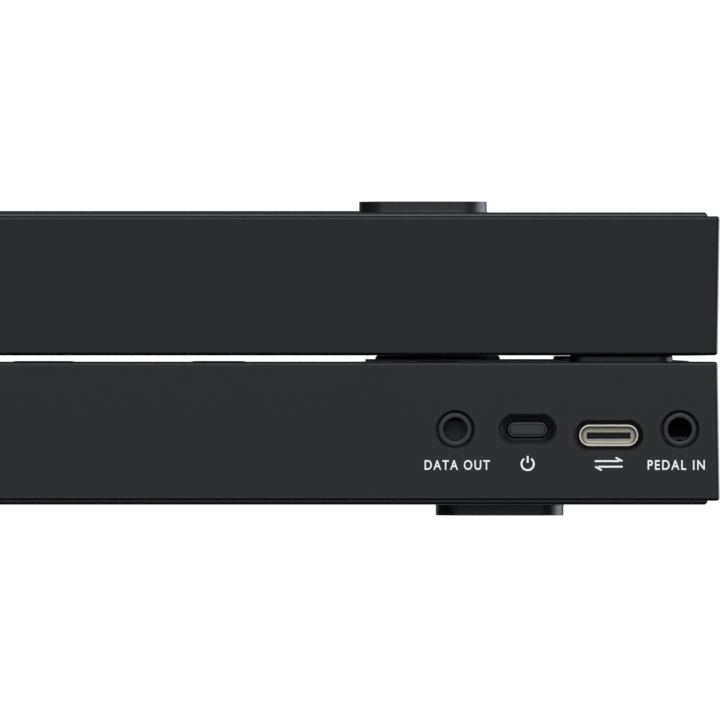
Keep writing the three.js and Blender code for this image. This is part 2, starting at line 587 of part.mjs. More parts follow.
const rightHalf = new THREE.Group();
rightHalf.add(
  named("right_case", caseShell(right), material.caseBlack),
  named("right_base_cover", baseCover(right, feetOf.right), material.coverBlack),
  named("right_feet", feetMoulding(feetOf.right), material.rubber),
  named("right_key_chassis", keyChassis(right), material.chassis),
  named("right_contact_board", contactBoard(right, rightKeys.blacks), material.board),
  ...rightKeys.meshes,
  named("hinge_right_leaf", hingeLeaf(1, 1), material.steel),
);
// Folded shut: half a turn about the hinge line.
rightHalf.rotation.y = Math.PI;
rightHalf.position.set(HINGE_X, 0, 2 * FOLD_Z);

const keyboard = new THREE.Group();
keyboard.add(leftHalf, rightHalf);
export default keyboard;
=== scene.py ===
# %% [markdown]
# # A folding keyboard, folded shut
#
# The object is a portable keyboard of two flat halves that are hinged at one end and lie one on the
# other, keys inwards. The CAD model gives every piece its place, its size and its joint. This script
# keeps those places and gives the pieces rounded edges, small printed marks, screws and real finishes.
# Each step starts with a few words on what the piece is and why it is made the way it is.

# %% Load the frame
import json
import math

import bmesh
import bpy
from mathutils import Matrix, Vector

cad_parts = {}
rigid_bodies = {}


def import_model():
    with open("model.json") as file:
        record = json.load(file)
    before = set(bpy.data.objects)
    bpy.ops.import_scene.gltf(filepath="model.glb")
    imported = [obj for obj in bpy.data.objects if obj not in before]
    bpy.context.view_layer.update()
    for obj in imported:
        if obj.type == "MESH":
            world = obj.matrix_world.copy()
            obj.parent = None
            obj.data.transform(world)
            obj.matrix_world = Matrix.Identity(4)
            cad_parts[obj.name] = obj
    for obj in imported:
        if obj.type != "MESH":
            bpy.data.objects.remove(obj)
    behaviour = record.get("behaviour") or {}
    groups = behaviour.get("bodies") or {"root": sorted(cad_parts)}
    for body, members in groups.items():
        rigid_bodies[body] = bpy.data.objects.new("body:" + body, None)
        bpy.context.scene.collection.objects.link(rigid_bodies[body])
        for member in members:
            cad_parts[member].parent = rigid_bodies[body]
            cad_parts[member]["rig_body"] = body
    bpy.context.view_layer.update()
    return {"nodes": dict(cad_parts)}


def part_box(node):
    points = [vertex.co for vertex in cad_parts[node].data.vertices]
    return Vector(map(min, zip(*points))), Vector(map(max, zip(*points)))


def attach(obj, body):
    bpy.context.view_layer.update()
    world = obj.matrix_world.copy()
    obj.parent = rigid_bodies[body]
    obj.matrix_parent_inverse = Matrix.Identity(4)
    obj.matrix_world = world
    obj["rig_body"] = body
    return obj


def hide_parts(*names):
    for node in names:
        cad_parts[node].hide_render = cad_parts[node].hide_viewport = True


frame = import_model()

MM = 0.001


def linked(name, data):
    """A new object of the scene that holds some data."""
    made = bpy.data.objects.new(name, data)
    bpy.context.scene.collection.objects.link(made)
    return made


# %% [markdown]
# ## Places that everything hangs on
#
# All positions come from the boxes of the CAD nodes. The rear wall of the lower half carries the sockets,
# and the line midway between the two rims is the fold line. The left half lies right way up. The right
# half lies upside down on it, so a point of the right half is the same distance from the fold line, on
# the other side.

# %% Places from the frame
case_low, case_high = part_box("left_case")
REAR_Y = case_high.y
OUTER_X = case_low.x
RIM_Z = case_high.z
FOLD_Z = (RIM_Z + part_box("right_case")[0].z) / 2
DRAFT = 0.3 * MM


def middle(node):
    """The middle of a CAD node's box."""
    low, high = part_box(node)
    return (low + high) / 2


def wall_y(z):
    """How far back the drafted rear wall of the left half lies at a height."""
    return REAR_Y - DRAFT * (z - case_low.z) / (RIM_Z - case_low.z)


def across_fold(z):
    """A height in one half, carried over to the other half."""
    return 2 * FOLD_Z - z


def body_of(node):
    """The name of the CAD body that a node belongs to."""
    return frame["nodes"][node]["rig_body"]


HINGE_X = middle("hinge_pin").x
print("rear face:", round(REAR_Y, 4), "outer end:", round(OUTER_X, 4), "fold line:", round(FOLD_Z, 5))

# %% [markdown]
# ## The camera
#
# The view is square from behind, at the height of the gap between the halves, and close enough to fill
# the frame with a hundred millimetres of the outer end. A long lens from more than two metres away keeps
# the rear face free of perspective, while the feet and bumpers further back still come out a little
# smaller.

# %% Camera
VIEW_WIDTH = 108.3 * MM
VIEW_DISTANCE = 2.2
FROM_OUTER_END = 54.12 * MM
BELOW_FOLD = 0.225 * MM

camera_data = bpy.data.cameras.new("rear_view")
camera_data.sensor_width = 36
camera_data.lens = camera_data.sensor_width * VIEW_DISTANCE / VIEW_WIDTH
camera_data.clip_end = 20
camera = linked("rear_view", camera_data)
camera.location = (OUTER_X + FROM_OUTER_END, REAR_Y + VIEW_DISTANCE, FOLD_Z - BELOW_FOLD)
camera.rotation_euler = (math.radians(90), 0, math.radians(180))
bpy.context.scene.camera = camera
print("lens", round(camera_data.lens), "mm")

# %% [markdown]
# ## Shader maths
#
# A material is a tree of nodes, and the maths in it reads best as maths. The first class wraps one output
# socket, so that `wear * 0.5 + 0.2` adds the two Math nodes that it says. Everything else goes through
# `node` of the second class, which takes the node's type, its settings and the values or links of its
# sockets.


# %% A number in a shader
class Value:
    """A number that varies over a surface: an output socket that takes part in sums."""

    def __init__(self, nodes, socket):
        self.nodes = nodes
        self.socket = socket

    def _math(self, operation, first, second):
        return self.nodes.node("ShaderNodeMath", {"operation": operation}, {0: first, 1: second})

    def __add__(self, other):
        return self._math("ADD", self, other)

    __radd__ = __add__

    def __sub__(self, other):
        return self._math("SUBTRACT", self, other)

    def __rsub__(self, other):
        return self._math("SUBTRACT", other, self)

    def __mul__(self, other):
        return self._math("MULTIPLY", self, other)

    __rmul__ = __mul__


class ShaderNodes:
    """A shader tree under construction."""

    def __init__(self, tree):
        self.tree = tree

    def node(self, kind, settings=None, sockets=None, pick=0):
        """Adds a node, sets it, feeds its sockets and gives back one of its outputs."""
        made = self.tree.nodes.new(kind)
        for name, value in (settings or {}).items():
            if name == "stops":
                self._set_stops(made.color_ramp, value)
            else:
                setattr(made, name, value)
        for socket, value in (sockets or {}).items():
            if isinstance(value, Value):
                self.tree.links.new(value.socket, made.inputs[socket])
            else:
                made.inputs[socket].default_value = value
        return Value(self, made.outputs[pick])

    @staticmethod
    def _set_stops(ramp, stops):
        while len(ramp.elements) > 1:
            ramp.elements.remove(ramp.elements[-1])
        ramp.elements[0].position = stops[0][0]
        ramp.elements[0].color = stops[0][1]
        for position, colour in stops[1:]:
            ramp.elements.new(position).color = colour


print("shader maths ready")

# %% [markdown]
# ## A finish
#
# A finish is a material with one shader. Its patterns are measured in Object coordinates, which is the
# same as the keyboard's own frame, since every piece has its place in its mesh. So noise of 35 patches to
# the metre means just that on every piece. Only what an exporter can bake is fed with a pattern.


# %% A finish
class Finish(ShaderNodes):
    """A material under construction, with its shader and the place that its patterns are measured from."""

    def __init__(self, name, **uniform):
        self.material = bpy.data.materials.new(name)
        self.material.use_nodes = True
        super().__init__(self.material.node_tree)
        self.tree.nodes.clear()
        output = self.tree.nodes.new("ShaderNodeOutputMaterial")
        self.shader = self.tree.nodes.new("ShaderNodeBsdfPrincipled")
        self.tree.links.new(self.shader.outputs[0], output.inputs["Surface"])
        self.place = self.node("ShaderNodeTexCoord", pick="Object")
        for socket, value in uniform.items():
            self.shader.inputs[socket.replace("_", " ")].default_value = value

    def noise(self, per_metre, detail=2.0, place=None):
        """Soft cloudy noise, from 0 to 1, with this many patches to the metre."""
        sockets = {"Vector": place or self.place, "Scale": per_metre, "Detail": detail}
        return self.node("ShaderNodeTexNoise", {}, sockets)

    def stretched(self, scale, at=(0, 0, 0)):
        """Object coordinates from a centre, scaled by a different amount on each axis."""
        moved = self.node("ShaderNodeVectorMath", {"operation": "SUBTRACT"}, {0: self.place, 1: at})
        return self.node("ShaderNodeVectorMath", {"operation": "MULTIPLY"}, {0: moved, 1: scale})

    def between(self, share, low, high):
        """A colour between two others."""
        stops = [(0, (*low, 1)), (1, (*high, 1))]
        return self.node("ShaderNodeValToRGB", {"stops": stops}, {"Fac": share})

    def feed(self, socket, value):
        """Links a varying value to the shader."""
        self.tree.links.new(value.socket, self.shader.inputs[socket])

    def bump(self, height, depth, strength=0.5):
        """Lets a height, from 0 to 1, raise the surface by a depth in metres."""
        sockets = {"Height": height, "Distance": depth, "Strength": strength}
        self.feed("Normal", self.node("ShaderNodeBump", {}, sockets))


def grey(level, warmth=0.0):
    """A near-neutral linear colour. A positive warmth leans to red, a negative one to blue."""
    return (level * (1 + warmth), level, level * (1 - warmth))


print("finishes can be made")

# %% [markdown]
# ## Moulded plastics and rubber
#
# The shells are satin black ABS from a spark-eroded mould. Up close such a surface is a field of tiny
# soft pits, so the bump is noise with about five patches to the millimetre. The colour hardly varies, but
# a slow drift in roughness breaks up the reflections, as handling does. The upper shell takes a much
# darker copy of the same plastic, which is painted shade. The base covers have the same
# plastic with a coarser texture, and the feet and bumpers are duller and slightly browner rubber.


# %% Plastics and rubber
def moulded(name, dark, light, roughness, grain_per_metre, grain_depth, warmth=-0.02, **uniform):
    """A moulded black plastic or rubber: nearly one colour, with fine grain and a slow change in gloss."""
    finish = Finish(name, **uniform)
    drift = finish.noise(35, 3)
    speck = finish.noise(grain_per_metre * 0.4, 1)
    mix = drift * 0.6 + speck * 0.4
    finish.feed("Base Color", finish.between(mix, grey(dark, warmth), grey(light, warmth)))
    finish.feed("Roughness", finish.noise(90, 4) * GLOSS_SPREAD + (roughness - GLOSS_SPREAD / 2))
    finish.bump(finish.noise(grain_per_metre, 2), grain_depth, 0.35)
    return finish.material


GLOSS_SPREAD = 0.08
FINE = 0.006 * MM
MEDIUM = 0.01 * MM
COARSE = 0.015 * MM
SATIN_BLACK = moulded("satin_black_plastic", 0.0075, 0.0105, 0.36, 5200, FINE)
# The same satin black made far darker: painted shade for the upper shell, which is the same plastic.
SHADED_SATIN_BLACK = moulded("satin_black_plastic_painted_shade", 0.0012, 0.0028, 0.36, 5200, FINE)
COVER_BLACK = moulded("cover_black_plastic", 0.014, 0.02, 0.33, 2600, COARSE, Specular_IOR_Level=0.9)
RUBBER = moulded("black_rubber", 0.014, 0.02, 0.42, 1800, MEDIUM, warmth=0.0)
SOCKET_BLACK = moulded("socket_plastic", 0.045, 0.053, 0.42, 3000, MEDIUM)
BUTTON_GREY = moulded("button_plastic", 0.052, 0.062, 0.45, 4200, MEDIUM)
# Near black with almost no shine: painted shade for the floors deep inside the round sockets.
PAINTED_SHADE_BLACK = moulded("painted_shade_black_plastic", 0.001, 0.002, 0.6, 3000, MEDIUM, Specular_IOR_Level=0.05)
RECESS_BLACK = moulded("recess_plastic", 0.008, 0.012, 0.5, 3000, MEDIUM, Specular_IOR_Level=0.4)
DULL_BLACK = moulded("dull_black_plastic", 0.032, 0.04, 0.6, 3000, MEDIUM, Specular_IOR_Level=0.3)
TONGUE_BLACK = moulded("tongue_plastic", 0.006, 0.009, 0.5, 3000, MEDIUM, Specular_IOR_Level=0.25)
CHASSIS_GREY = moulded("chassis_plastic", 0.035, 0.05, 0.6, 2200, 0.04 * MM)
print("plastics:", [m.name for m in (SATIN_BLACK, COVER_BLACK, RUBBER, SOCKET_BLACK, BUTTON_GREY)])

# %% [markdown]
# ## Key finishes
#
# White keys are glossy acrylic-coated plastic, slightly warm, with faint smears where fingers land. Black
# keys are matt with a grain that runs along the key, which keeps damp fingers from slipping.


# %% Key finishes
def white_key_finish():
    finish = Finish("white_key_gloss", Specular_IOR_Level=0.5, Coat_Roughness=0.12)
    cloud = finish.noise(28, 3)
    finish.feed("Base Color", finish.between(cloud, (0.80, 0.78, 0.71), (0.86, 0.845, 0.79)))
    smear = finish.noise(60, 5, finish.stretched((1, 0.35, 1)))
    finish.feed("Roughness", smear * 0.16 + 0.14)
    finish.feed("Coat Weight", smear * 0.3 + 0.2)
    finish.bump(finish.noise(700, 2), 0.01 * MM, 0.2)
    return finish.material


def black_key_finish():
    finish = Finish("black_key_matt", Specular_IOR_Level=0.4)
    grain = finish.noise(2600, 3, finish.stretched((1, 0.06, 1)))
    finish.feed("Base Color", finish.between(grain, grey(0.008), grey(0.017)))
    finish.feed("Roughness", grain * 0.15 + 0.42)
    finish.bump(grain, 0.05 * MM, 0.5)
    return finish.material


WHITE_KEY = white_key_finish()
BLACK_KEY = black_key_finish()
print("key finishes ready")

# %% [markdown]
# ## Metals
#
# The hinge is brushed steel: fine scratches that run along the barrel, made from noise that is stretched
# along Y. The socket shell is satin nickel, which is warmer and smoother, with faint tumbling marks. Only
# the stretch, the number of scratches and the two colours differ, so one function makes them all.


# %% Metals
def brushed(name, low, high, roughness, scale, per_metre, depth):
    """A metal with fine scratches along the axis on which scale is small."""
    finish = Finish(name, Metallic=1.0)
    scratch = finish.noise(per_metre, 4, finish.stretched(scale))
    stain = finish.noise(120, 3)
    finish.feed("Base Color", finish.between(scratch * 0.5 + stain * 0.5, low, high))
    finish.feed("Roughness", scratch * 0.18 + (roughness - 0.09))
    finish.bump(scratch, depth, 0.4)
    return finish.material


EVEN = (1, 1, 1)
FAINT = 0.004 * MM
STEEL = brushed("brushed_steel", (0.42, 0.41, 0.39), (0.62, 0.61, 0.58), 0.36, (1, 0.02, 1), 9000, 0.02 * MM)
NICKEL = brushed("satin_nickel", (0.82, 0.77, 0.63), (0.94, 0.89, 0.73), 0.33, (0.3, 1, 0.3), 5000, FAINT)
DULL_NICKEL = brushed("dull_nickel", (0.46, 0.43, 0.345), (0.54, 0.51, 0.41), 0.5, EVEN, 4000, FAINT)
SCREW_METAL = brushed("blackened_screw", (0.03, 0.03, 0.032), (0.07, 0.07, 0.072), 0.4, EVEN, 3000, MEDIUM)
GOLD = brushed("contact_gold", (0.72, 0.5, 0.2), (0.85, 0.62, 0.28), 0.3, (1, 0.1, 1), 6000, FAINT)
print("metals ready")

# %% [markdown]
# ## Print and film
#
# The marks are white pad printing, which is opaque and a little uneven. The ink is also given a glow of its
# own, a painted brightness that no lamp gives, which lifts the marks above the lamps' light. The control
# overlay is a glossy dark film under a clear coat.


# %% Print and film
def ink_with_painted_glow(name, dark, light):
    # The emission is painted light: it makes the ink glow brighter than the lamps alone would light it.
    finish = Finish(name, Specular_IOR_Level=0.3, Emission_Strength=0.6)
    patch = finish.noise(9000, 2)
    colour = finish.between(patch, dark, light)
    finish.feed("Base Color", colour)
    finish.feed("Roughness", patch * 0.2 + 0.5)
    finish.feed("Emission Color", colour)
    return finish.material


def film_finish():
    finish = Finish("overlay_film", Specular_IOR_Level=0.5, Coat_Roughness=0.05)
    cloud = finish.noise(50, 3)
    finish.feed("Base Color", finish.between(cloud, grey(0.006, -0.05), grey(0.010, -0.05)))
    finish.feed("Roughness", finish.noise(160, 4) * 0.12 + 0.16)
    finish.feed("Coat Weight", cloud * 0.2 + 0.3)
    return finish.material


PRINT_WHITE = ink_with_painted_glow("white_print", (0.78, 0.79, 0.80), (0.86, 0.87, 0.88))
PRINT_GREY = ink_with_painted_glow("grey_print", (0.30, 0.31, 0.32), (0.38, 0.39, 0.40))
OVERLAY_FILM = film_finish()
print("print and film ready")

# %% [markdown]
# ## Circuit boards and the battery
#
# The circuit boards are green solder mask over copper tracks: the tracks are a grid of steps in the
# colour, raised by a few hundredths of a millimetre. The battery has a blue shrink sleeve with slight
# wrinkles.


# %% Boards and battery
def board_finish():
    finish = Finish("green_circuit_board", Specular_IOR_Level=0.5)
    tracks = finish.node("ShaderNodeTexBrick", {"offset": 0.5, "squash": 1.0}, {
        "Vector": finish.place, "Scale": 260, "Mortar Size": 0.06, "Brick Width": 0.9, "Row Height": 0.28,
    }, pick="Fac")
    cloud = finish.noise(200, 3)
    mask = tracks * 0.7 + cloud * 0.3
    finish.feed("Base Color", finish.between(mask, (0.006, 0.06, 0.028), (0.02, 0.13, 0.06)))
    finish.feed("Roughness", cloud * 0.15 + 0.3)
    finish.bump(tracks, 0.04 * MM, 0.6)
    return finish.material


def sleeve_finish():
    finish = Finish("battery_sleeve", Specular_IOR_Level=0.5)
    wrinkle = finish.noise(140, 5, finish.stretched((1, 0.4, 1)))
    finish.feed("Base Color", finish.between(wrinkle, (0.02, 0.11, 0.28), (0.035, 0.17, 0.4)))
    finish.feed("Roughness", wrinkle * 0.2 + 0.25)
    finish.bump(wrinkle, 0.3 * MM, 0.4)
    return finish.material


BOARD_GREEN = board_finish()
BATTERY_BLUE = sleeve_finish()
print("boards and battery ready")

# %% [markdown]
# ## Pieces from meshes
#
# Every piece ends the same way: its mesh in the frame of the whole keyboard, its object at the origin, a
# material and a body to ride on. A weighted normal modifier keeps the
# big flat faces flat and lets only the rounded edges catch the light.


# %% Finishing a piece
def settle(piece, material, body, slot, replaced=(), smooth_angle=40):
    """Gives a mesh object its material, shading, body and the CAD nodes that it stands for. The slot is not
    used.
    """
    mesh = piece.data
    if material:
        mesh.materials.clear()
        mesh.materials.append(material)
    mesh.shade_smooth()
    mesh.set_sharp_from_angle(angle=math.radians(smooth_angle))
    weighted = piece.modifiers.new("flat_faces_stay_flat", "WEIGHTED_NORMAL")
    weighted.keep_sharp = True
    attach(piece, body)
    if replaced:
        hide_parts(*replaced)
    return piece


def object_from(name, bm):
    """A linked object from a bmesh, which is freed."""
    mesh = bpy.data.meshes.new(name)
    bm.to_mesh(mesh)
    bm.free()
    return linked(name, mesh)


def finished(name, bm, *looks, **options):
    """A settled piece from a bmesh, once every closed part of it has its faces pointing out."""
    bmesh.ops.recalc_face_normals(bm, faces=bm.faces)
    return settle(object_from(name, bm), *looks, **options)


print("pieces can be finished")

# %% [markdown]
# ## Stacks of outlines
#
# Most small fittings are made by moulding or turning, so their shape is an outline that changes a little
# as it goes in or up. Such a piece is a stack: outlines with the same number of points, joined by bands
# of faces. A stack with both ends closed is a solid, and one that joins its last outline to its first is
# a ring.


# %% Outlines and stacks
def add_stack(bm, loops, ring=False):
    """Joins outlines by bands of faces. The ends are capped, or joined if it is a ring."""
    rows = [[bm.verts.new(point) for point in loop] for loop in loops]
    count = len(rows[0])
    pairs = list(zip(rows, rows[1:]))
    if ring:
        pairs.append((rows[-1], rows[0]))
    for lower, upper in pairs:
        for i in range(count):
            j = (i + 1) % count
            bm.faces.new((lower[i], lower[j], upper[j], upper[i]))
    if not ring:
        bm.faces.new(reversed(rows[0]))
        bm.faces.new(rows[-1])


def stacked(name, loops, *looks, ring=False, **options):
    """A settled piece that is one stack."""
    bm = bmesh.new()
    add_stack(bm, loops, ring)
    return finished(name, bm, *looks, **options)


def round_rectangle(width, height, radius, corner_points=8):
    """The outline of a rectangle with round corners, centred on zero, as (u, v) pairs."""
    points = []
    for turn, (sign_u, sign_v) in enumerate([(1, 1), (-1, 1), (-1, -1), (1, -1)]):
        centre = (sign_u * (width / 2 - radius), sign_v * (height / 2 - radius))
        for i in range(corner_points + 1):
            angle = math.radians(90 * turn + 90 * i / corner_points)
            points.append((centre[0] + radius * math.cos(angle), centre[1] + radius * math.sin(angle)))
    return points


def shrinking(width, height, radius, corner_points):
    """A round rectangle that takes an inset and gives the outline that much further in."""
    return lambda inset: round_rectangle(
        width - 2 * inset, height - 2 * inset, radius - inset, corner_points)


def circle(radius, points=64):
    """A circle as (u, v) pairs."""
    angles = [2 * math.pi * i / points for i in range(points)]
    return [(radius * math.cos(angle), radius * math.sin(angle)) for angle in angles]


def standing(outline, centre, height):
    """An outline laid flat at a height: u along X, v along Y."""
    return [Vector((centre[0] + u, centre[1] + v, height)) for u, v in outline]


def facing_rear(outline, centre, y):
    """An outline held upright, parallel to the rear wall: u along X, v along Z."""
    return [Vector((centre[0] + u, y, centre[2] + v)) for u, v in outline]


def eased(steps, radius):
    """A quarter-round edge as (inset, rise) pairs, from the side wall to the flat face."""
    turns = [math.pi / 2 * i / steps for i in range(steps + 1)]
    return [(radius * (1 - math.cos(turn)), radius * math.sin(turn)) for turn in turns]


print("outlines and stacks ready")

# %% [markdown]
# ## Rounding a CAD solid
#
# A moulded or machined edge is never sharp. The CAD solids are, so a copy of each one is merged, its flat
# faces are joined up again and a choice of its sharp edges is bevelled. A bevel is cut to the full width
# everywhere, so each piece says which of its edges are long enough to take it.


# %% Rounded copies of CAD solids
def merged_copy(node):
    """The CAD node's mesh with its corners joined and its flat faces made whole."""
    bm = bmesh.new()
    bm.from_mesh(frame["nodes"][node].data)
    bmesh.ops.remove_doubles(bm, verts=bm.verts, dist=0.002 * MM)
    bmesh.ops.dissolve_limit(bm, angle_limit=math.radians(1), verts=bm.verts, edges=bm.edges)
    return bm


def sharp_edges(bm, test=lambda edge: True, least=30):
    """The edges that turn by more than an angle and pass a test."""
    return [edge for edge in bm.edges
            if len(edge.link_faces) == 2 and edge.calc_face_angle() > math.radians(least) and test(edge)]


def bevel(bm, edges, width, segments=3):
    bmesh.ops.bevel(
        bm, geom=edges, offset=width, offset_type="OFFSET", segments=segments, profile=0.5,
        affect="EDGES", clamp_overlap=False,
    )


def longer_than(length):
    """A test for edges."""
    return lambda edge: edge.calc_length() > length


def rounded(node, name, width, test, segments, material, slot):
    """A settled copy of a CAD node whose chosen sharp edges are bevelled."""
    bm = merged_copy(node)
    bevel(bm, sharp_edges(bm, test), width, segments)
    return settle(object_from(name, bm), material, body_of(node), slot, [node])


print("rounding ready")

# %% [markdown]
# ## The two shells
#
# Each shell is one moulding: walls, deck, key well and, on the left one, the socket holes in the rear
# wall. Its long outer edges have a radius of half a millimetre and the inner ones of the rim a smaller
# one, which shows as a thin light line. The lips of the holes are only broken, so they get a much finer
# bevel.

# %% Shells
OUTLINE_RADIUS = 0.5 * MM
RIM_RADIUS = 0.3 * MM
LIP_RADIUS = 0.1 * MM
SHORTEST_OUTLINE_EDGE = 2 * MM
SHORTEST_RIM_EDGE = 5 * MM
LONGEST_LIP_EDGE = 1.2 * MM
OUTER_BAND = 0.5 * MM


def near(first, second):
    """Whether two measures are the same to a fiftieth of a millimetre."""
    return abs(first - second) < 0.02 * MM


def shell(node, finish):
    """A shell with its outline, its rim and the lips of its holes rounded."""
    bm = merged_copy(node)
    low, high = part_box(node)
    rim, base = (RIM_Z, low.z) if node == "left_case" else (across_fold(RIM_Z), high.z)

    def at_height(face, height):
        return all(near(vert.co.z, height) for vert in face.verts)

    def is_outer(face):
        centre = face.calc_center_median()
        faces_y, faces_x = abs(face.normal.y) > 0.9, abs(face.normal.x) > 0.9
        at_front_or_rear = abs(centre.y) > REAR_Y - OUTER_BAND
        at_end = min(abs(centre.x - low.x), abs(centre.x - high.x)) < OUTER_BAND
        return (at_height(face, rim) or at_height(face, base)
                or faces_y and at_front_or_rear or faces_x and at_end)

    def is_outline(edge):
        is_long = edge.calc_length() > SHORTEST_OUTLINE_EDGE
        return is_long and all(is_outer(face) for face in edge.link_faces)

    def is_on_rim(edge):
        is_long = edge.calc_length() > SHORTEST_RIM_EDGE
        return is_long and any(at_height(face, rim) for face in edge.link_faces)

    def is_lip(edge):
        on_wall = all(near(vert.co.y, wall_y(vert.co.z)) for vert in edge.verts)
        return edge.calc_length() < LONGEST_LIP_EDGE and on_wall

    bevel(bm, sharp_edges(bm, is_outline), OUTLINE_RADIUS, 5)
    bevel(bm, sharp_edges(bm, is_on_rim, least=60), RIM_RADIUS, 2)
    if node == "left_case":
        bevel(bm, sharp_edges(bm, is_lip, least=45), LIP_RADIUS, 2)
    return settle(object_from(f"{node}_shell", bm), finish, body_of(node), "case", [node])


left_shell = shell("left_case", SATIN_BLACK)
# The upper shell takes the darker copy of the satin black, which paints in its shade.
right_shell = shell("right_case", SHADED_SATIN_BLACK)
print("shell faces:", len(left_shell.data.polygons), len(right_shell.data.polygons))

# %% [markdown]
# ## Base covers
#
# The covers are flat plates that stand a little proud of the shells, so a fine shadow line runs round
# them. Only the four long edges of each broad face are rounded, and the screw holes stay crisp.

# %% Base covers
COVER_RADIUS = 0.5 * MM

for side in ("left", "right"):
    rounded(f"{side}_base_cover", f"{side}_cover_plate", COVER_RADIUS, longer_than(100 * MM), 5,
            COVER_BLACK, "cover")

# %% [markdown]
# ## Rubber feet
#
# A foot is a low pad with round corners in plan and a soft edge where it meets the table. The left half
# has four, and the right half has two at the rear and a long strip along the front. The pads of one half
# hang together through pegs and a thin web that lies above the cover, as in the CAD, so nothing can fall
# off.

# %% One pad
FOOT_EDGE = 0.1 * MM
FOOT_FLARE = 0.14 * MM
FOOT_PLAN_RADIUS = 4 * MM
STRIP_FROM = 50 * MM
STRIP_EDGE = 0.3 * MM
STRIP_LOWER = 0.12 * MM


def pad_places(node, ground):
    """The middle and size of each pad, from the faces of the feet node at its outermost height."""
    bm = merged_copy(node)
    places = []
    for face in bm.faces:
        if all(near(vert.co.z, ground) for vert in face.verts):
            xs, ys = zip(*[vert.co.xy for vert in face.verts])
            left, right, front, rear = min(xs), max(xs), min(ys), max(ys)
            places.append(((left + right) / 2, (front + rear) / 2, right - left, rear - front))
    bm.free()
    return places


def add_pad(bm, x, y, width, depth, ground, top):
    """A pad from the ground to its cover, with its ground edge eased."""
    up = 1 if top > ground else -1
    edge = FOOT_EDGE
    if width > STRIP_FROM:
        edge = STRIP_EDGE
        ground += up * STRIP_LOWER
    outline = shrinking(width, depth, FOOT_PLAN_RADIUS, 10)
    loops = [standing(outline(edge - rise), (x, y), ground + up * inset) for inset, rise in eased(5, edge)]
    loops.append(standing(outline(0), (x, y), top - up * 2 * FOOT_FLARE))
    loops.append(standing(outline(-FOOT_FLARE), (x, y), top))
    add_stack(bm, loops)


def add_block(bm, low, high):
    """A plain box between two corners."""
    width, depth = high[0] - low[0], high[1] - low[1]
    outline = [(0, 0), (width, 0), (width, depth), (0, depth)]
    add_stack(bm, [standing(outline, low, low[2]), standing(outline, low, high[2])])


print("pads can be made")

# %% [markdown]
# ## The feet of one half
#
# The web runs along the rear pads, along the front ones and once from front to rear. Its height and the
# pegs' are given for the left half and carried across the fold line for the right one.

# %% Rubber feet
FOOT_TUCK = 0.02 * MM
PEG_RADIUS = 2.5 * MM
WEB_HEIGHTS = [4 * MM, 4.7 * MM]
HALF_WEB = 3 * MM


def add_web(bm, places, low, high):
    """Bands along the rear and the front pads of a half, and one that joins them."""
    front_y, rear_y = min(place[1] for place in places), max(place[1] for place in places)
    front_xs = [place[0] for place in places if place[1] == front_y]
    rear_xs = [place[0] for place in places if place[1] != front_y] + front_xs[:1]
    for xs, y in ((rear_xs, rear_y), (front_xs, front_y)):
        add_block(bm, (min(xs) - HALF_WEB, y - HALF_WEB, low), (max(xs) + HALF_WEB, y + HALF_WEB, high))
    add_block(bm, (front_xs[0] - HALF_WEB, front_y, low), (front_xs[0] + HALF_WEB, rear_y, high))


for side in ("left", "right"):
    node = f"{side}_feet"
    low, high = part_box(node)
    cover_low, cover_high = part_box(f"{side}_base_cover")
    if side == "left":
        ground, top, web = low.z, cover_low.z - FOOT_TUCK, WEB_HEIGHTS
    else:
        ground, top = high.z, cover_high.z + FOOT_TUCK
        web = [across_fold(height) for height in reversed(WEB_HEIGHTS)]
    places = pad_places(node, ground)
    bm = bmesh.new()
    for x, y, width, depth in places:
        add_pad(bm, x, y, width, depth, ground, top)
        add_stack(bm, [standing(circle(PEG_RADIUS, 24), (x, y), z) for z in sorted((top, sum(web) / 2))])
    add_web(bm, places, *web)
    finished(f"{side}_rubber_feet", bm, RUBBER, body_of(node), "rubber", [node], smooth_angle=30)
    print(node, "pads:", len(places))

# %% [markdown]
# ## Keys
#
# Each key is a rounded copy of its solid. The white ones have softly rounded edges that a fingertip
# doesn't feel, and the black ones a larger radius along the top. Only edges near the top of a key are
# rounded, where a finger can reach. Every key rides on its own body, because every key moves.

# %% Keys
WHITE_EDGE, WHITE_TOP_FROM = 0.45 * MM, 13.1 * MM
BLACK_EDGE, BLACK_TOP_FROM = 1.0 * MM, 20 * MM
KEY_OVERLAP = 3 * MM

key_nodes = sorted(node for node in frame["nodes"] if node.startswith("key_"))
for node in key_nodes:
    is_black = node[5] == "s"
    width, top_from = (BLACK_EDGE, BLACK_TOP_FROM) if is_black else (WHITE_EDGE, WHITE_TOP_FROM)
    is_upside_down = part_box(node)[0].z > FOLD_Z - KEY_OVERLAP

    def is_near_top(edge):
        heights = [vert.co.z for vert in edge.verts]
        return max(across_fold(z) if is_upside_down else z for z in heights) > top_from

    material, slot = (BLACK_KEY, "black_key") if is_black else (WHITE_KEY, "white_key")
    rounded(node, f"{node}_moulding", width, is_near_top, 4, material, slot)
print("keys:", len(key_nodes))

# %% [markdown]
# ## Bumpers
#
# Two low rubber bumpers on the control section keep the folded halves apart. They are as high as the gap,
# so each one stands on the lower rim and its eased top meets the upper one.

# %% Bumpers
BUMPER_PLAN_RADIUS = 2.5 * MM
BUMPER_EDGE = 0.3 * MM
BUMPER_LIFT = 0.01 * MM

for node in ("rear_bumper", "front_bumper"):
    low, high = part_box(node)
    outline = shrinking(high.x - low.x, high.y - low.y, BUMPER_PLAN_RADIUS, 8)
    edge_from = across_fold(RIM_Z) - BUMPER_EDGE
    profile = [(0, RIM_Z + BUMPER_LIFT)]
    profile += [(inset, edge_from + rise) for inset, rise in eased(5, BUMPER_EDGE)]
    loops = [standing(outline(inset), middle(node), z) for inset, z in profile]
    stacked(f"{node}_pad", loops, RUBBER, "left_half", "rubber", [node], smooth_angle=30)
print("bumpers ready")

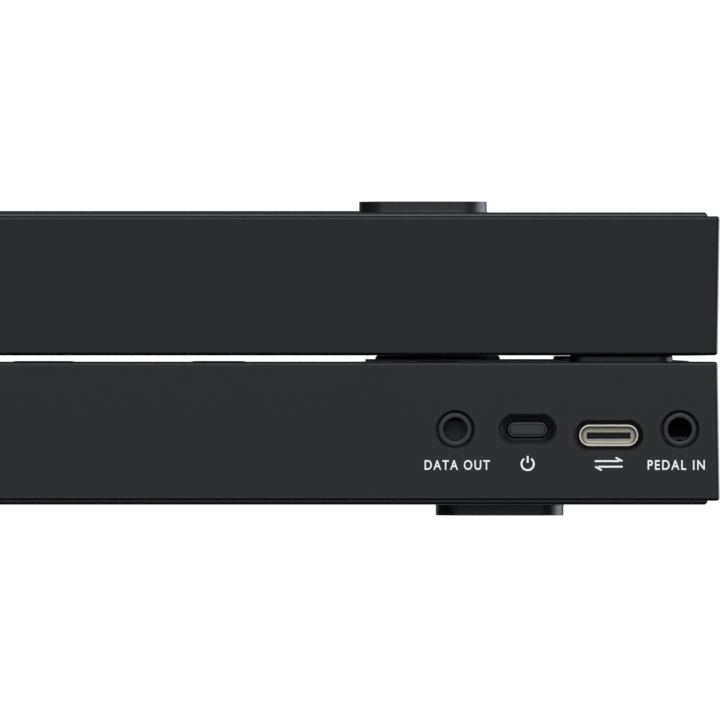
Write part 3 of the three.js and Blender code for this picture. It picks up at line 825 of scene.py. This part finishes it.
# %% [markdown]
# ## Dished recesses
#
# Round each socket and the button the wall dips in softly. A dip like this is the hard part of a moulding
# and easy in a mesh: outlines of the hole are stacked from the wall's surface inwards, each a little
# smaller and deeper, on an S-shaped slope. The ring that comes out fills the space between the wall's
# hole and the fitting. Light from above catches its lower slope and leaves the upper one dark, which is
# what makes it read as a recess.


# %% Recess rings
def recess(name, outline, centre, reach, depth, back):
    """A dished ring in a hole of the rear wall. The outline takes an inset and gives the hole's outline."""

    def loop(inset, sunk):
        points = facing_rear(outline(inset + RECESS_CLEARANCE), centre, 0)
        for point in points:
            point.y = wall_y(point.z) - sunk
        return points

    shares = [i / RECESS_STEPS for i in range(RECESS_STEPS + 1)]
    slope = [loop(share * reach, depth * share * share * (3 - 2 * share)) for share in shares]
    return stacked(name, [loop(0, back)] + slope + [loop(reach, back)], RECESS_BLACK, "left_half", "case",
                   ring=True)


def pill(width, height, slack, corner_points):
    """A round-ended outline that takes an inset. The slack keeps its ends just short of half circles."""
    return shrinking(width, height, height / 2 - slack, corner_points)


RECESS_CLEARANCE = 0.005 * MM
RECESS_STEPS = 8
PILL_SLACK = 0.01 * MM
SOCKET_HOLE_RADIUS = 2.9 * MM
button_centre = middle("power_button")
usb_centre = middle("usb_socket")


def socket_place(node):
    """The middle of a round socket's bore, which is level with the button and not its body's middle."""
    return Vector((middle(node).x, 0, button_centre.z))


for node in ("data_jack", "pedal_jack"):
    recess(f"{node}_recess", lambda inset: circle(SOCKET_HOLE_RADIUS - inset), socket_place(node),
           reach=0.36 * MM, depth=0.34 * MM, back=2.2 * MM)
recess("power_button_recess", pill(8.6 * MM, 4.8 * MM, PILL_SLACK, 14), button_centre,
       reach=1.03 * MM, depth=0.72 * MM, back=0.82 * MM)
recess("usb_socket_recess", pill(10.3 * MM, 4.7 * MM, PILL_SLACK, 14), usb_centre,
       reach=0.6 * MM, depth=0.6 * MM, back=2.2 * MM)
print("recesses ready")

# %% [markdown]
# ## Round sockets
#
# A socket for a round plug is a moulded ring with a bore. The ring's face lies just inside the wall, with
# a dark gap round it. Inside, a contact spring lies across the bore: in the data socket it fills most of
# the hole and in the pedal socket it lies low, so the two look different from outside. Behind it the bore
# ends in a floor painted near black, which stands in for the shade deep in the socket.

# %% Round sockets
BORE_RADIUS = 1.775 * MM
RING_RADIUS = 2.5 * MM
RING_LIP = 0.14 * MM
RING_DEPTH = 4 * MM
FLOOR_RADIUS = BORE_RADIUS + 0.5 * MM
FLOOR_DEPTHS = (4.6 * MM, 4.1 * MM)
CONTACT_REACH = BORE_RADIUS * 0.96
CONTACT_DEPTHS = (3.4 * MM, 3.0 * MM)
CONTACT_EDGE = 0.08 * MM


def round_socket(node, contact_from, contact_to):
    """A ring, a floor painted near black as shade and a contact between two heights, given as shares of the
    bore's radius.
    """
    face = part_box(node)[1].y
    centre = socket_place(node)
    break_in = RING_LIP * 0.3
    profile = [
        (RING_RADIUS, RING_DEPTH), (RING_RADIUS, RING_LIP), (RING_RADIUS - break_in, break_in),
        (RING_RADIUS - RING_LIP, 0), (BORE_RADIUS + RING_LIP, 0), (BORE_RADIUS + break_in, break_in),
        (BORE_RADIUS, RING_LIP), (BORE_RADIUS, RING_DEPTH),
    ]
    loops = [facing_rear(circle(radius), centre, face - depth) for radius, depth in profile]
    stacked(f"{node}_ring", loops, SOCKET_BLACK, "left_half", "jack", [node], ring=True)
    # The floor is painted near black, as shade for the depth of the bore.
    loops = [facing_rear(circle(FLOOR_RADIUS), centre, face - depth) for depth in FLOOR_DEPTHS]
    stacked(f"{node}_floor", loops, PAINTED_SHADE_BLACK, "left_half", "jack")

    back, front = [face - depth for depth in CONTACT_DEPTHS]
    bm = bmesh.new()
    add_block(bm, (centre.x - CONTACT_REACH, back, centre.z + contact_from * BORE_RADIUS),
              (centre.x + CONTACT_REACH, front, centre.z + contact_to * BORE_RADIUS))
    bevel(bm, sharp_edges(bm), CONTACT_EDGE)
    finished(f"{node}_contact", bm, DULL_BLACK, "left_half", "jack")


round_socket("data_jack", -0.95, 0.72)
round_socket("pedal_jack", -0.9, -0.62)
print("round sockets ready")

# %% [markdown]
# ## The charging socket
#
# The shell of this socket is drawn nickel with a bright, flat front rim whose two edges are rolled. A
# duller plate closes it further in, and the contact tongue stands in the middle. The gold contacts on the
# tongue repeat at an even pitch, so a tree lays them out further down.

# %% Charging socket
SHELL_WALL = 0.3 * MM
RIM_ROLL = 0.07 * MM
PLATE_DEPTH = 0.5 * MM
TONGUE_DEPTH = 0.3 * MM
TONGUE_WIDTH, TONGUE_HEIGHT, TONGUE_EDGE = 6.6 * MM, 0.95 * MM, 0.1 * MM

usb_low, usb_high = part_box("usb_socket")
usb_face, usb_back = usb_high.y, usb_low.y
stadium = pill(usb_high.x - usb_low.x, usb_high.z - usb_low.z, PILL_SLACK, 16)


def usb_stack(name, profile, material, **options):
    """A piece of the charging socket from pairs of an inset and a place along Y."""
    loops = [facing_rear(stadium(inset), usb_centre, y) for inset, y in profile]
    stacked(name, loops, material, "left_half", "nickel", **options)


rolled = [(inset, usb_face - RIM_ROLL + rise) for inset, rise in eased(4, RIM_ROLL)]
inner_wall = [(SHELL_WALL, usb_face - 3 * MM), (SHELL_WALL + 0.25 * MM, usb_face - 6 * MM),
              (SHELL_WALL + 0.25 * MM, usb_back)]
usb_stack(
    "usb_socket_shell",
    [(0, usb_back)] + rolled + [(SHELL_WALL - inset, y) for inset, y in reversed(rolled)] + inner_wall,
    NICKEL, replaced=["usb_socket"], ring=True)

plate_face = usb_face - PLATE_DEPTH
plate_profile = [
    (SHELL_WALL - 0.05 * MM, usb_face - 2 * MM), (SHELL_WALL - 0.05 * MM, plate_face + 0.28 * MM),
    (SHELL_WALL + 0.15 * MM, plate_face + 0.1 * MM), (SHELL_WALL + 0.5 * MM, plate_face),
]
usb_stack("usb_socket_inner_plate", plate_profile, DULL_NICKEL)

tongue_face = usb_face - TONGUE_DEPTH
tongue_profile = [(0, usb_back + 0.5 * MM), (0, tongue_face - TONGUE_EDGE), (TONGUE_EDGE, tongue_face)]
loops = []
for inset, y in tongue_profile:
    outline = round_rectangle(TONGUE_WIDTH - 2 * inset, TONGUE_HEIGHT - 2 * inset, 0.12 * MM, 3)
    loops.append(facing_rear(outline, usb_centre, y))
stacked("usb_socket_tongue", loops, TONGUE_BLACK, "left_half", "jack")
print("charging socket ready")

# %% [markdown]
# ## The power button
#
# The cap is a low round-ended pill with an eased edge. A fine groove runs round its face, which sets off
# a slightly raised middle.

# %% Power button
CAP_WIDTH, CAP_DEPTH = 6.05 * MM, 2.3 * MM
CAP_EDGE = 0.2 * MM
CAP_STEPS = [(0.32 * MM, 0.15 * MM), (0.36 * MM, 0.22 * MM), (0.42 * MM, 0.05 * MM), (0.5 * MM, 0)]

button_low, button_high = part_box("power_button")
cap_face = button_high.y
cap_side = cap_face - 0.35 * MM
profile = [(0, button_low.y + 1 * MM), (0, cap_side)]
profile += [(inset, cap_side + rise) for inset, rise in eased(4, CAP_EDGE)]
profile += [(inset, cap_face - sunk) for inset, sunk in CAP_STEPS]
cap_outline = pill(CAP_WIDTH, CAP_DEPTH, PILL_SLACK / 2, 14)
stacked("power_button_cap", [facing_rear(cap_outline(inset), button_centre, y) for inset, y in profile],
        BUTTON_GREY, "power_button", "button", ["power_button"])
print("power button ready")

# %% [markdown]
# ## Printed words
#
# The marks under the sockets are white and lie flat on the wall, about a hundredth of a millimetre thick.
# A word is a text object, which is turned into a mesh before it is scaled to its size and put in place,
# so that the finished piece stays at the origin.

# %% Printed words
PRINT_LIFT = 0.012 * MM
TEXT_EXTRUDE = 0.005
CAP_HEIGHT = 1.44 * MM
BASELINE_Z = 7 * MM


def rear_wall_place(x, z):
    """Turns flat artwork so that it reads from behind, at a point of the rear wall."""
    turn = Matrix(((-1, 0, 0), (0, 0, 1), (0, 1, 0))).to_4x4()
    lean = Matrix.Rotation(DRAFT / (RIM_Z - case_low.z), 4, "X")
    return Matrix.Translation((x, wall_y(z), z)) @ lean @ turn


def text_mesh(name, text):
    """A word as a mesh, one unit high."""
    curve = bpy.data.curves.new(name, "FONT")
    curve.body = text
    curve.align_x = "CENTER"
    curve.size = 1
    curve.offset = 0.014
    curve.space_character = 1.25
    curve.extrude = TEXT_EXTRUDE
    lettering = linked(name, curve)
    bpy.context.view_layer.update()
    graph = bpy.context.evaluated_depsgraph_get()
    mesh = bpy.data.meshes.new_from_object(lettering.evaluated_get(graph))
    bpy.data.objects.remove(lettering)
    return mesh


def word(name, text, width, x):
    """A printed word on the rear wall, scaled to the cap height and a width, centred on x."""
    mesh = text_mesh(name, text)
    xs = [vert.co.x for vert in mesh.vertices]
    tallest = max(vert.co.y for vert in mesh.vertices)
    stretch = (width / (max(xs) - min(xs)), CAP_HEIGHT / tallest, PRINT_LIFT / TEXT_EXTRUDE, 1)
    centring = Matrix.Translation((-(max(xs) + min(xs)) / 2, 0, 0))
    mesh.transform(rear_wall_place(x, BASELINE_Z) @ Matrix.Diagonal(stretch) @ centring)
    bm = bmesh.new()
    bm.from_mesh(mesh)
    bmesh.ops.remove_doubles(bm, verts=bm.verts, dist=0.0001 * MM)
    bm.to_mesh(mesh)
    bm.free()
    return settle(linked(name, mesh), PRINT_WHITE, "left_half", "case")


word("data_socket_print", "DATA OUT", 9.8 * MM, middle("data_jack").x - 0.3 * MM)
word("pedal_socket_print", "PEDAL IN", 8.6 * MM, middle("pedal_jack").x + 0.55 * MM)
print("words printed")

# %% [markdown]
# ## Printed symbols
#
# A symbol is a few strokes. Each stroke is a flat ribbon along a few points, given in millimetres from
# the symbol's middle, and an arc is a stroke with many points. The power symbol is a ring that is open at
# the top with a bar in the opening, and the charging symbol is two opposite arrows.

# %% Printed symbols
SYMBOL_Z = 7.86 * MM
TIGHTEST_MITRE = 0.35


def add_ribbon(bm, points, width, place):
    """A flat ribbon along points, with mitred turns and a little thickness."""
    points = [Vector((*point, 0)) for point in points]
    raised = Vector((0, 0, PRINT_LIFT))
    rows = []
    for i, point in enumerate(points):
        before = points[i - 1] if i else point
        after = points[i + 1] if i < len(points) - 1 else point
        ahead = ((after - point).normalized() + (point - before).normalized()).normalized()
        across = Vector((-ahead.y, ahead.x, 0))
        along = (after - point if after != point else point - before).normalized()
        mitre = max(TIGHTEST_MITRE, abs(across.dot(Vector((-along.y, along.x, 0)))))
        left, right = point + across * (width / 2 / mitre), point - across * (width / 2 / mitre)
        rows.append([place @ corner for corner in (left, right, right + raised, left + raised)])
    add_stack(bm, rows)


def arc(radius, start, end, steps=24):
    """Points on an arc round zero, with its angles in degrees."""
    turns = [math.radians(start + (end - start) * i / steps) for i in range(steps + 1)]
    return [(radius * math.cos(turn), radius * math.sin(turn)) for turn in turns]


def symbol(name, place, strokes, material=PRINT_WHITE, slot="case"):
    """A printed symbol from strokes, each a (points, width) pair."""
    bm = bmesh.new()
    for points, width in strokes:
        add_ribbon(bm, [(u * MM, v * MM) for u, v in points], width * MM, place)
    return finished(name, bm, material, "left_half", slot)


symbol("power_print", rear_wall_place(button_centre.x, SYMBOL_Z),
       [(arc(0.93, 125, 415, 32), 0.28), ([(0, 0.15), (0, 1.2)], 0.28)])
symbol("charging_print", rear_wall_place(usb_centre.x, SYMBOL_Z), [
    ([(-2.1, 0.42), (1.6, 0.42)], 0.27), ([(1.05, 0.95), (2.05, 0.42)], 0.27),
    ([(2.1, -0.42), (-1.6, -0.42)], 0.27), ([(-1.05, -0.95), (-2.05, -0.42)], 0.27),
])
print("symbols printed")

# %% [markdown]
# ## The control overlay
#
# The overlay is a glossy film with round corners and a hole for the knob. It keeps the CAD shape with its
# edges broken, and carries a few plain touch marks, each a ring with a simple sign in it.

# %% Overlay
FILM_EDGE = 0.05 * MM

rounded("control_overlay", "control_overlay_film", FILM_EDGE, longer_than(4 * MM), 2, OVERLAY_FILM, "overlay")
overlay_x, overlay_top = middle("control_overlay").x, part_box("control_overlay")[1].z
touch_ring = (arc(5, 0, 354, 48), 0.25)
touch_marks = {
    "minus": (-12, 34, [([(-2, 0), (2, 0)], 0.5)]),
    "plus": (12, 34, [([(-2, 0), (2, 0)], 0.5), ([(0, -2), (0, 2)], 0.5)]),
    "left": (-12, 10, [([(1, 2), (-1, 0), (1, -2)], 0.5)]),
    "right": (12, 10, [([(-1, 2), (1, 0), (-1, -2)], 0.5)]),
    "play": (-12, -14, [([(-1, 1.7), (1.7, 0), (-1, -1.7), (-1, 1.2)], 0.45)]),
    "stop": (12, -14, [([(-1.4, 1.4), (1.4, 1.4), (1.4, -1.4), (-1.4, -1.4), (-1.4, 1.1)], 0.45)]),
}
for name, (beside, y, strokes) in touch_marks.items():
    place = Matrix.Translation((overlay_x + beside * MM, y * MM, overlay_top))
    symbol(f"touch_{name}_print", place, strokes + [touch_ring], PRINT_GREY, "overlay")
print("overlay marks:", len(touch_marks))

# %% [markdown]
# ## The knob
#
# The knob is turned: a flat disc with an eased rim and a shallow dish in its top, so a stack of circles
# makes it. Its finish has fine turned rings, from the distance to the knob's own axis. The ribs round the
# rim come later.

# %% Knob
knob_low, knob_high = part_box("control_knob")
knob_centre = middle("control_knob")
KNOB_RADIUS = (knob_high.x - knob_low.x) / 2
RIB_DEPTH = 0.12 * MM
KNOB_EDGE = 0.22 * MM
STEM_RADIUS = 3 * MM
RINGS_PER_METRE = 26000
knob_top = across_fold(RIM_Z) - 0.01 * MM
disc_bottom = knob_top - 0.76 * MM


def knob_finish():
    """Dark anodised metal look: fine turned rings round the knob's own axis."""
    finish = Finish("turned_knob", Metallic=0.6, Specular_IOR_Level=0.5)
    from_axis = finish.stretched((1, 1, 0), tuple(knob_centre))
    radius = finish.node("ShaderNodeVectorMath", {"operation": "LENGTH"}, {0: from_axis}, pick="Value")
    rings = finish.node("ShaderNodeMath", {"operation": "SINE"}, {0: radius * RINGS_PER_METRE})
    cloud = finish.noise(300, 3)
    finish.feed("Base Color", finish.between(cloud, grey(0.012), grey(0.022)))
    finish.feed("Roughness", rings * 0.05 + 0.36)
    finish.bump(rings * 0.5 + 0.5, 0.01 * MM, 0.4)
    return finish.material


KNOB_BLACK = knob_finish()
disc_radius = KNOB_RADIUS - RIB_DEPTH
profile = [(STEM_RADIUS, knob_low.z), (STEM_RADIUS, disc_bottom - 0.02 * MM), (disc_radius, disc_bottom)]
profile += [(disc_radius - inset, knob_top - KNOB_EDGE + rise) for inset, rise in eased(4, KNOB_EDGE)]
profile += [(KNOB_RADIUS - 1.6 * MM, knob_top), (KNOB_RADIUS - 2.2 * MM, knob_top - 0.2 * MM),
            (0.4 * MM, knob_top - 0.25 * MM)]
stacked("control_knob_disc", [standing(circle(radius, 96), knob_centre, z) for radius, z in profile],
        KNOB_BLACK, "control_knob", "knob", ["control_knob"])
print("knob radius", round(KNOB_RADIUS / MM, 2), "mm")

# %% [markdown]
# ## A Geometry Nodes builder
#
# Trees are easier to read when each node is one call. This small builder adds a node, sets it, feeds its
# sockets and gives back an output. Inputs of the tree have names, so the sizes can be changed on the
# modifier. The result is turned into a plain mesh, because an exporter drops instances and live trees.


# %% Geometry Nodes builder
class Tree:
    """A Geometry Nodes tree under construction."""

    def __init__(self, name, **inputs):
        self.group = bpy.data.node_groups.new(name, "GeometryNodeTree")
        new_socket = self.group.interface.new_socket
        new_socket("Geometry", in_out="OUTPUT", socket_type="NodeSocketGeometry")
        new_socket("Geometry", in_out="INPUT", socket_type="NodeSocketGeometry")
        self.identifiers = {}
        for label, (kind, default) in inputs.items():
            made = new_socket(label.replace("_", " "), in_out="INPUT", socket_type=f"NodeSocket{kind}")
            made.default_value = default
            self.identifiers[label] = made.identifier
        self.inputs = self.group.nodes.new("NodeGroupInput")
        self.output = self.group.nodes.new("NodeGroupOutput")

    def given(self, label):
        """One of the tree's own inputs."""
        return self.inputs.outputs[label.replace("_", " ")]

    def node(self, kind, settings=None, sockets=None, pick=0):
        """Adds a node, sets it, feeds its sockets, one or a list to each, and gives back an output."""
        made = self.group.nodes.new(kind)
        for name, value in (settings or {}).items():
            setattr(made, name, value)
        for socket, value in (sockets or {}).items():
            for part in value if isinstance(value, list) else [value]:
                if isinstance(part, bpy.types.NodeSocket):
                    self.group.links.new(part, made.inputs[socket])
                else:
                    made.inputs[socket].default_value = part
        return made.outputs[pick]

    def sized(self, **axes):
        """A vector from the values or links of some of its axes."""
        return self.node("ShaderNodeCombineXYZ", {}, axes)

    def finish(self, geometry, material):
        """Makes the instances real, gives them their material and ends the tree."""
        real = self.node("GeometryNodeRealizeInstances", {}, {"Geometry": geometry})
        painted = self.node("GeometryNodeSetMaterial", {}, {"Geometry": real, "Material": material})
        self.group.links.new(painted, self.output.inputs[0])

    def grow(self, name, points, body, slot, **values):
        """Runs the tree on a mesh of points and settles the result as a plain mesh piece."""
        seedling = bpy.data.meshes.new(name)
        seedling.from_pydata([tuple(point) for point in points], [], [])
        host = linked(name, seedling)
        modifier = host.modifiers.new(name, "NODES")
        modifier.node_group = self.group
        for label, value in values.items():
            modifier[self.identifiers[label]] = value
        graph = bpy.context.evaluated_depsgraph_get()
        mesh = bpy.data.meshes.new_from_object(host.evaluated_get(graph))
        bpy.data.objects.remove(host)
        return settle(linked(name, mesh), None, body, slot)


print("tree builder ready")

# %% [markdown]
# ## Ribs on the knob's rim
#
# The ribs are small blocks set round a circle. The tree makes the circle itself, turns each block to face
# outwards and gives them all the knob's finish. The one point that it is given is the circle's middle.

# %% Knob ribs
tree = Tree("ribs_round_a_rim", Count=("Int", 96), Rim_Radius=("Float", 9 * MM),
            Rib_Width=("Float", 0.32 * MM), Rib_Height=("Float", 0.5 * MM), Rib_Depth=("Float", 0.26 * MM))
rim = tree.node("GeometryNodeMeshCircle", {}, {
    "Vertices": tree.given("Count"), "Radius": tree.given("Rim_Radius")})
rib_size = tree.sized(X=tree.given("Rib_Depth"), Y=tree.given("Rib_Width"), Z=tree.given("Rib_Height"))
rib = tree.node("GeometryNodeMeshCube", {}, {"Size": rib_size})
where = tree.node("GeometryNodeInputPosition")
facing = tree.node("FunctionNodeAlignEulerToVector", {"axis": "X", "pivot_axis": "Z"}, {"Vector": where})
ribs = tree.node("GeometryNodeInstanceOnPoints", {}, {"Points": rim, "Instance": rib, "Rotation": facing})
seat = tree.node("GeometryNodeSampleIndex", {"data_type": "FLOAT_VECTOR"}, {
    "Geometry": tree.given("Geometry"), "Value": where, "Index": 0})
placed = tree.node("GeometryNodeTransform", {}, {"Geometry": ribs, "Translation": seat})
tree.finish(placed, KNOB_BLACK)

rib_middle = (knob_centre.x, knob_centre.y, disc_bottom + 0.28 * MM)
knob_ribs = tree.grow("control_knob_ribs", [rib_middle], "control_knob", "knob",
                      Rim_Radius=KNOB_RADIUS - 0.14 * MM)
print("rib faces:", len(knob_ribs.data.polygons))

# %% [markdown]
# ## Contacts in the charging socket
#
# The contacts are flat gold strips at an even pitch along both faces of the tongue. The tree lays one
# strip on each point of a line, and puts such a line at every point that it is given: one point on the
# tongue's top and one on its underside.

# %% Socket contacts
CONTACT_COUNT = 12
CONTACT_PITCH = 0.5 * MM
CONTACT_CLEARANCE = 0.12 * MM
contact_length = tongue_face - plate_face - CONTACT_CLEARANCE

tree = Tree("contact_rows", Count=("Int", CONTACT_COUNT), Pitch=("Float", CONTACT_PITCH),
            Strip_Width=("Float", 0.24 * MM), Strip_Length=("Float", contact_length),
            Strip_Thickness=("Float", 0.024 * MM))
line = tree.node("GeometryNodeMeshLine", {"mode": "OFFSET"}, {
    "Count": tree.given("Count"), "Offset": tree.sized(X=tree.given("Pitch"))})
strip_size = tree.sized(
    X=tree.given("Strip_Width"), Y=tree.given("Strip_Length"), Z=tree.given("Strip_Thickness"))
strip = tree.node("GeometryNodeMeshCube", {}, {"Size": strip_size})
row = tree.node("GeometryNodeInstanceOnPoints", {}, {"Points": line, "Instance": strip})
starts = tree.node("GeometryNodeMeshToPoints", {}, {"Mesh": tree.given("Geometry")})
tree.finish(tree.node("GeometryNodeInstanceOnPoints", {}, {"Points": starts, "Instance": row}), GOLD)

first_x = usb_centre.x - (CONTACT_COUNT - 1) / 2 * CONTACT_PITCH
strip_y = (plate_face + tongue_face - CONTACT_CLEARANCE) / 2
row_starts = [(first_x, strip_y, usb_centre.z + side * TONGUE_HEIGHT / 2) for side in (-1, 1)]
contacts = tree.grow("usb_socket_contacts", row_starts, "left_half", "nickel")
print("contact faces:", len(contacts.data.polygons))

# %% [markdown]
# ## The fold hinge
#
# Steel leaves with alternating knuckles turn on a pin, and small countersunk screws hold them down. The
# edges of sheet steel are only broken, so the bevel is a tenth of a millimetre.

# %% Hinge
LEAF_EDGE = 0.1 * MM

for node in ("hinge_left_leaf", "hinge_right_leaf", "hinge_pin"):
    rounded(node, f"{node}_broken_edges", LEAF_EDGE, longer_than(8 * MM), 2, STEEL, "steel")
print("hinge ready")

# %% [markdown]
# ## A tree for screws
#
# A screw head is a short cylinder with a cross cut into it. One tree makes the head and sets it on every
# point that it is given, so one mesh of points makes all the screws of a body. Heads that face down are
# the same tree with the head turned over.

# %% Screw tree
screw_tree = Tree("cross_head_screws", Head_Radius=("Float", 2.2 * MM), Head_Height=("Float", 0.9 * MM),
                  Upside_Down=("Bool", False))
radius, height = screw_tree.given("Head_Radius"), screw_tree.given("Head_Height")
head = screw_tree.node("GeometryNodeMeshCylinder", {}, {"Vertices": 28, "Radius": radius, "Depth": height})
bar_length, bar_width = [
    screw_tree.node("ShaderNodeMath", {"operation": "MULTIPLY"}, {0: radius, 1: share})
    for share in (1.15, 0.24)]
bars = []
for long_axis, wide_axis in (("X", "Y"), ("Y", "X")):
    bar_size = screw_tree.sized(**{long_axis: bar_length, wide_axis: bar_width, "Z": height})
    bar = screw_tree.node("GeometryNodeMeshCube", {}, {"Size": bar_size})
    lift = screw_tree.node("ShaderNodeVectorMath", {"operation": "SCALE"}, {
        0: screw_tree.sized(Z=height), "Scale": 0.45})
    bars.append(screw_tree.node("GeometryNodeTransform", {}, {"Geometry": bar, "Translation": lift}))
cross_cut = screw_tree.node(
    "GeometryNodeMeshBoolean", {"operation": "DIFFERENCE"}, {"Mesh 1": head, "Mesh 2": bars})
over, upright = [
    screw_tree.node("FunctionNodeInputVector", {"vector": (angle, 0, 0)}) for angle in (math.pi, 0)]
turn = screw_tree.node("GeometryNodeSwitch", {"input_type": "VECTOR"}, {
    "Switch": screw_tree.given("Upside_Down"), "False": upright, "True": over})
points = screw_tree.node("GeometryNodeMeshToPoints", {}, {"Mesh": screw_tree.given("Geometry")})
set_down = screw_tree.node("GeometryNodeInstanceOnPoints", {}, {
    "Points": points, "Instance": cross_cut, "Rotation": turn})
screw_tree.finish(set_down, SCREW_METAL)
print("screw tree ready")

# %% [markdown]
# ## Screws
#
# Three screws hold each hinge leaf, and there are three in each base cover. The object is folded, so the
# screws of the right half lie straight above those of the left one and face the other way.

# %% Screws
HINGE_SCREW_FROM_PIN = 11 * MM
HINGE_SCREW_Z = RIM_Z - 0.46 * MM
COVER_SCREWS_FROM_PIN = (75 * MM, 147 * MM, 219 * MM)
COVER_SCREW_Y = 90.5 * MM
COVER_SCREW_Z = 2.35 * MM
SMALL_HEAD, LARGE_HEAD = 1.9 * MM, 2.4 * MM


def add_screws(name, half, places, head_radius, heads_down_in):
    """The screws of one kind in one half, as one piece, from their places in the left half."""
    if half == "right":
        places = [(x, y, across_fold(z)) for x, y, z in places]
    screw_tree.grow(name, places, f"{half}_half", "steel", Head_Radius=head_radius,
                    Upside_Down=half == heads_down_in)


hinge_low, hinge_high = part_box("hinge_left_leaf")
screw_ys = [hinge_low.y + (hinge_high.y - hinge_low.y) * share for share in (0.14, 0.5, 0.86)]
hinge_places = [(HINGE_X - HINGE_SCREW_FROM_PIN, y, HINGE_SCREW_Z) for y in screw_ys]
cover_places = [(HINGE_X - along, COVER_SCREW_Y, COVER_SCREW_Z) for along in COVER_SCREWS_FROM_PIN]
for half in ("left", "right"):
    add_screws(f"hinge_{half}_screws", half, hinge_places, SMALL_HEAD, "right")
for half in ("left", "right"):
    add_screws(f"{half}_cover_screws", half, cover_places, LARGE_HEAD, "left")
print("screws:", 2 * (len(hinge_places) + len(cover_places)))

# %% [markdown]
# ## The pieces inside
#
# The chassis, boards and battery keep their CAD shape, because nobody sees them, and only take their
# finishes.

# %% Finishes for the inner pieces
inner_finish = {
    "left_key_chassis": CHASSIS_GREY, "right_key_chassis": CHASSIS_GREY,
    "left_contact_board": BOARD_GREEN, "right_contact_board": BOARD_GREEN, "main_board": BOARD_GREEN,
    "battery_pack": BATTERY_BLUE,
}
for node, finish in inner_finish.items():
    mesh = frame["nodes"][node].data
    mesh.materials.clear()
    mesh.materials.append(finish)
print("inner pieces:", len(inner_finish))

# %% [markdown]
# ## The floor
#
# The keyboard stands on a pale, even surface. The floor glows and throws nothing back, so it stays pale
# in the picture and neither takes a shadow nor brightens the underside.

# %% Floor
FLOOR_CORNERS = [(-6, -6), (6, -6), (6, 6), (-6, 6)]
FLOOR_HEIGHTS = (-0.02, -0.00001)

bm = bmesh.new()
add_stack(bm, [standing(FLOOR_CORNERS, (0, 0), z) for z in FLOOR_HEIGHTS])
bmesh.ops.recalc_face_normals(bm, faces=bm.faces)
floor = object_from("pale_floor", bm)
floor_finish = Finish("pale_floor", Specular_IOR_Level=0.0, Roughness=1.0, Base_Color=(0, 0, 0, 1),
                      Emission_Strength=1.0)
glow = floor_finish.between(floor_finish.noise(3, 2), (1.02, 1.02, 1.02), (1.05, 1.05, 1.05))
floor_finish.feed("Emission Color", glow)
floor.data.materials.append(floor_finish.material)
floor.visible_diffuse = False
floor.visible_glossy = False
print("floor ready")

# %% [markdown]
# ## The world
#
# The world is white for the camera, and for the light it is a dim room with soft bright patches, so the
# black plastic keeps its depth. Each patch is a direction, how near to it the light starts and is full,
# as cosines, and a strength: a soft one behind the camera, a strong one beyond the outer end that lights
# the ends of the feet, a small one thirty degrees up behind the camera that gives the rounded edges
# their thin bright lines, and a faint one from the front.

# %% World
AMBIENT = 0.035
WHITE_FOR_CAMERA = 1.12
COOL_WHITE = (0.947, 0.98, 1.065, 1)
ROOM_LIGHT = [
    ((0, 1, 0.05), 0.68, 0.97, 0.41),
    ((-1, -0.3, 0.1), 0.82, 0.97, 5.5),
    ((0, 0.85, 0.53), 0.86, 1.0, 2.0),
    ((0.2, -1, -0.15), 0.75, 0.97, 0.5),
]

scene = bpy.context.scene
scene.view_settings.view_transform = "Standard"
scene.view_settings.look = "None"
world = bpy.data.worlds.new("pale_studio")
world.use_nodes = True
scene.world = world
room = ShaderNodes(world.node_tree)
direction = room.node("ShaderNodeTexCoord", pick="Generated")


def patch(towards, start, full, strength):
    """Light that grows from nothing to a strength as the direction nears another one."""
    nearness = room.node("ShaderNodeVectorMath", {"operation": "DOT_PRODUCT"}, {
        0: direction, 1: Vector(towards).normalized()}, pick="Value")
    return room.node("ShaderNodeMapRange", {"interpolation_type": "SMOOTHSTEP"}, {
        "Value": nearness, "From Min": start, "From Max": full, "To Min": 0, "To Max": strength})


light = sum((patch(*row) for row in ROOM_LIGHT), AMBIENT)
seen = room.node("ShaderNodeLightPath", pick="Is Camera Ray")
strength = room.node("ShaderNodeMix", {"data_type": "FLOAT"}, {
    "Factor": seen, "A": light, "B": WHITE_FOR_CAMERA}, pick="Result")
background = world.node_tree.nodes["Background"]
background.inputs["Color"].default_value = COOL_WHITE
world.node_tree.links.new(strength.socket, background.inputs["Strength"])
print("world patches:", len(ROOM_LIGHT))

# %% [markdown]
# ## The lamp
#
# One wide, weak lamp hangs overhead. It draws the soft light on the upper edges and on the lower slopes
# of the recesses.

# %% Lamp
lamp_data = bpy.data.lights.new("overhead_soft_box", "AREA")
lamp_data.shape = "RECTANGLE"
lamp_data.size, lamp_data.size_y = 1.6, 0.3
lamp_data.energy = 3
lamp = linked("overhead_soft_box", lamp_data)
view_middle = Vector((OUTER_X + FROM_OUTER_END, REAR_Y, FOLD_Z))
lamp.location = (view_middle.x, REAR_Y + 0.12, 1.5)
lamp.rotation_euler = (view_middle - lamp.location).to_track_quat("-Z", "Y").to_euler()
print("lamp:", lamp_data.energy, "W")
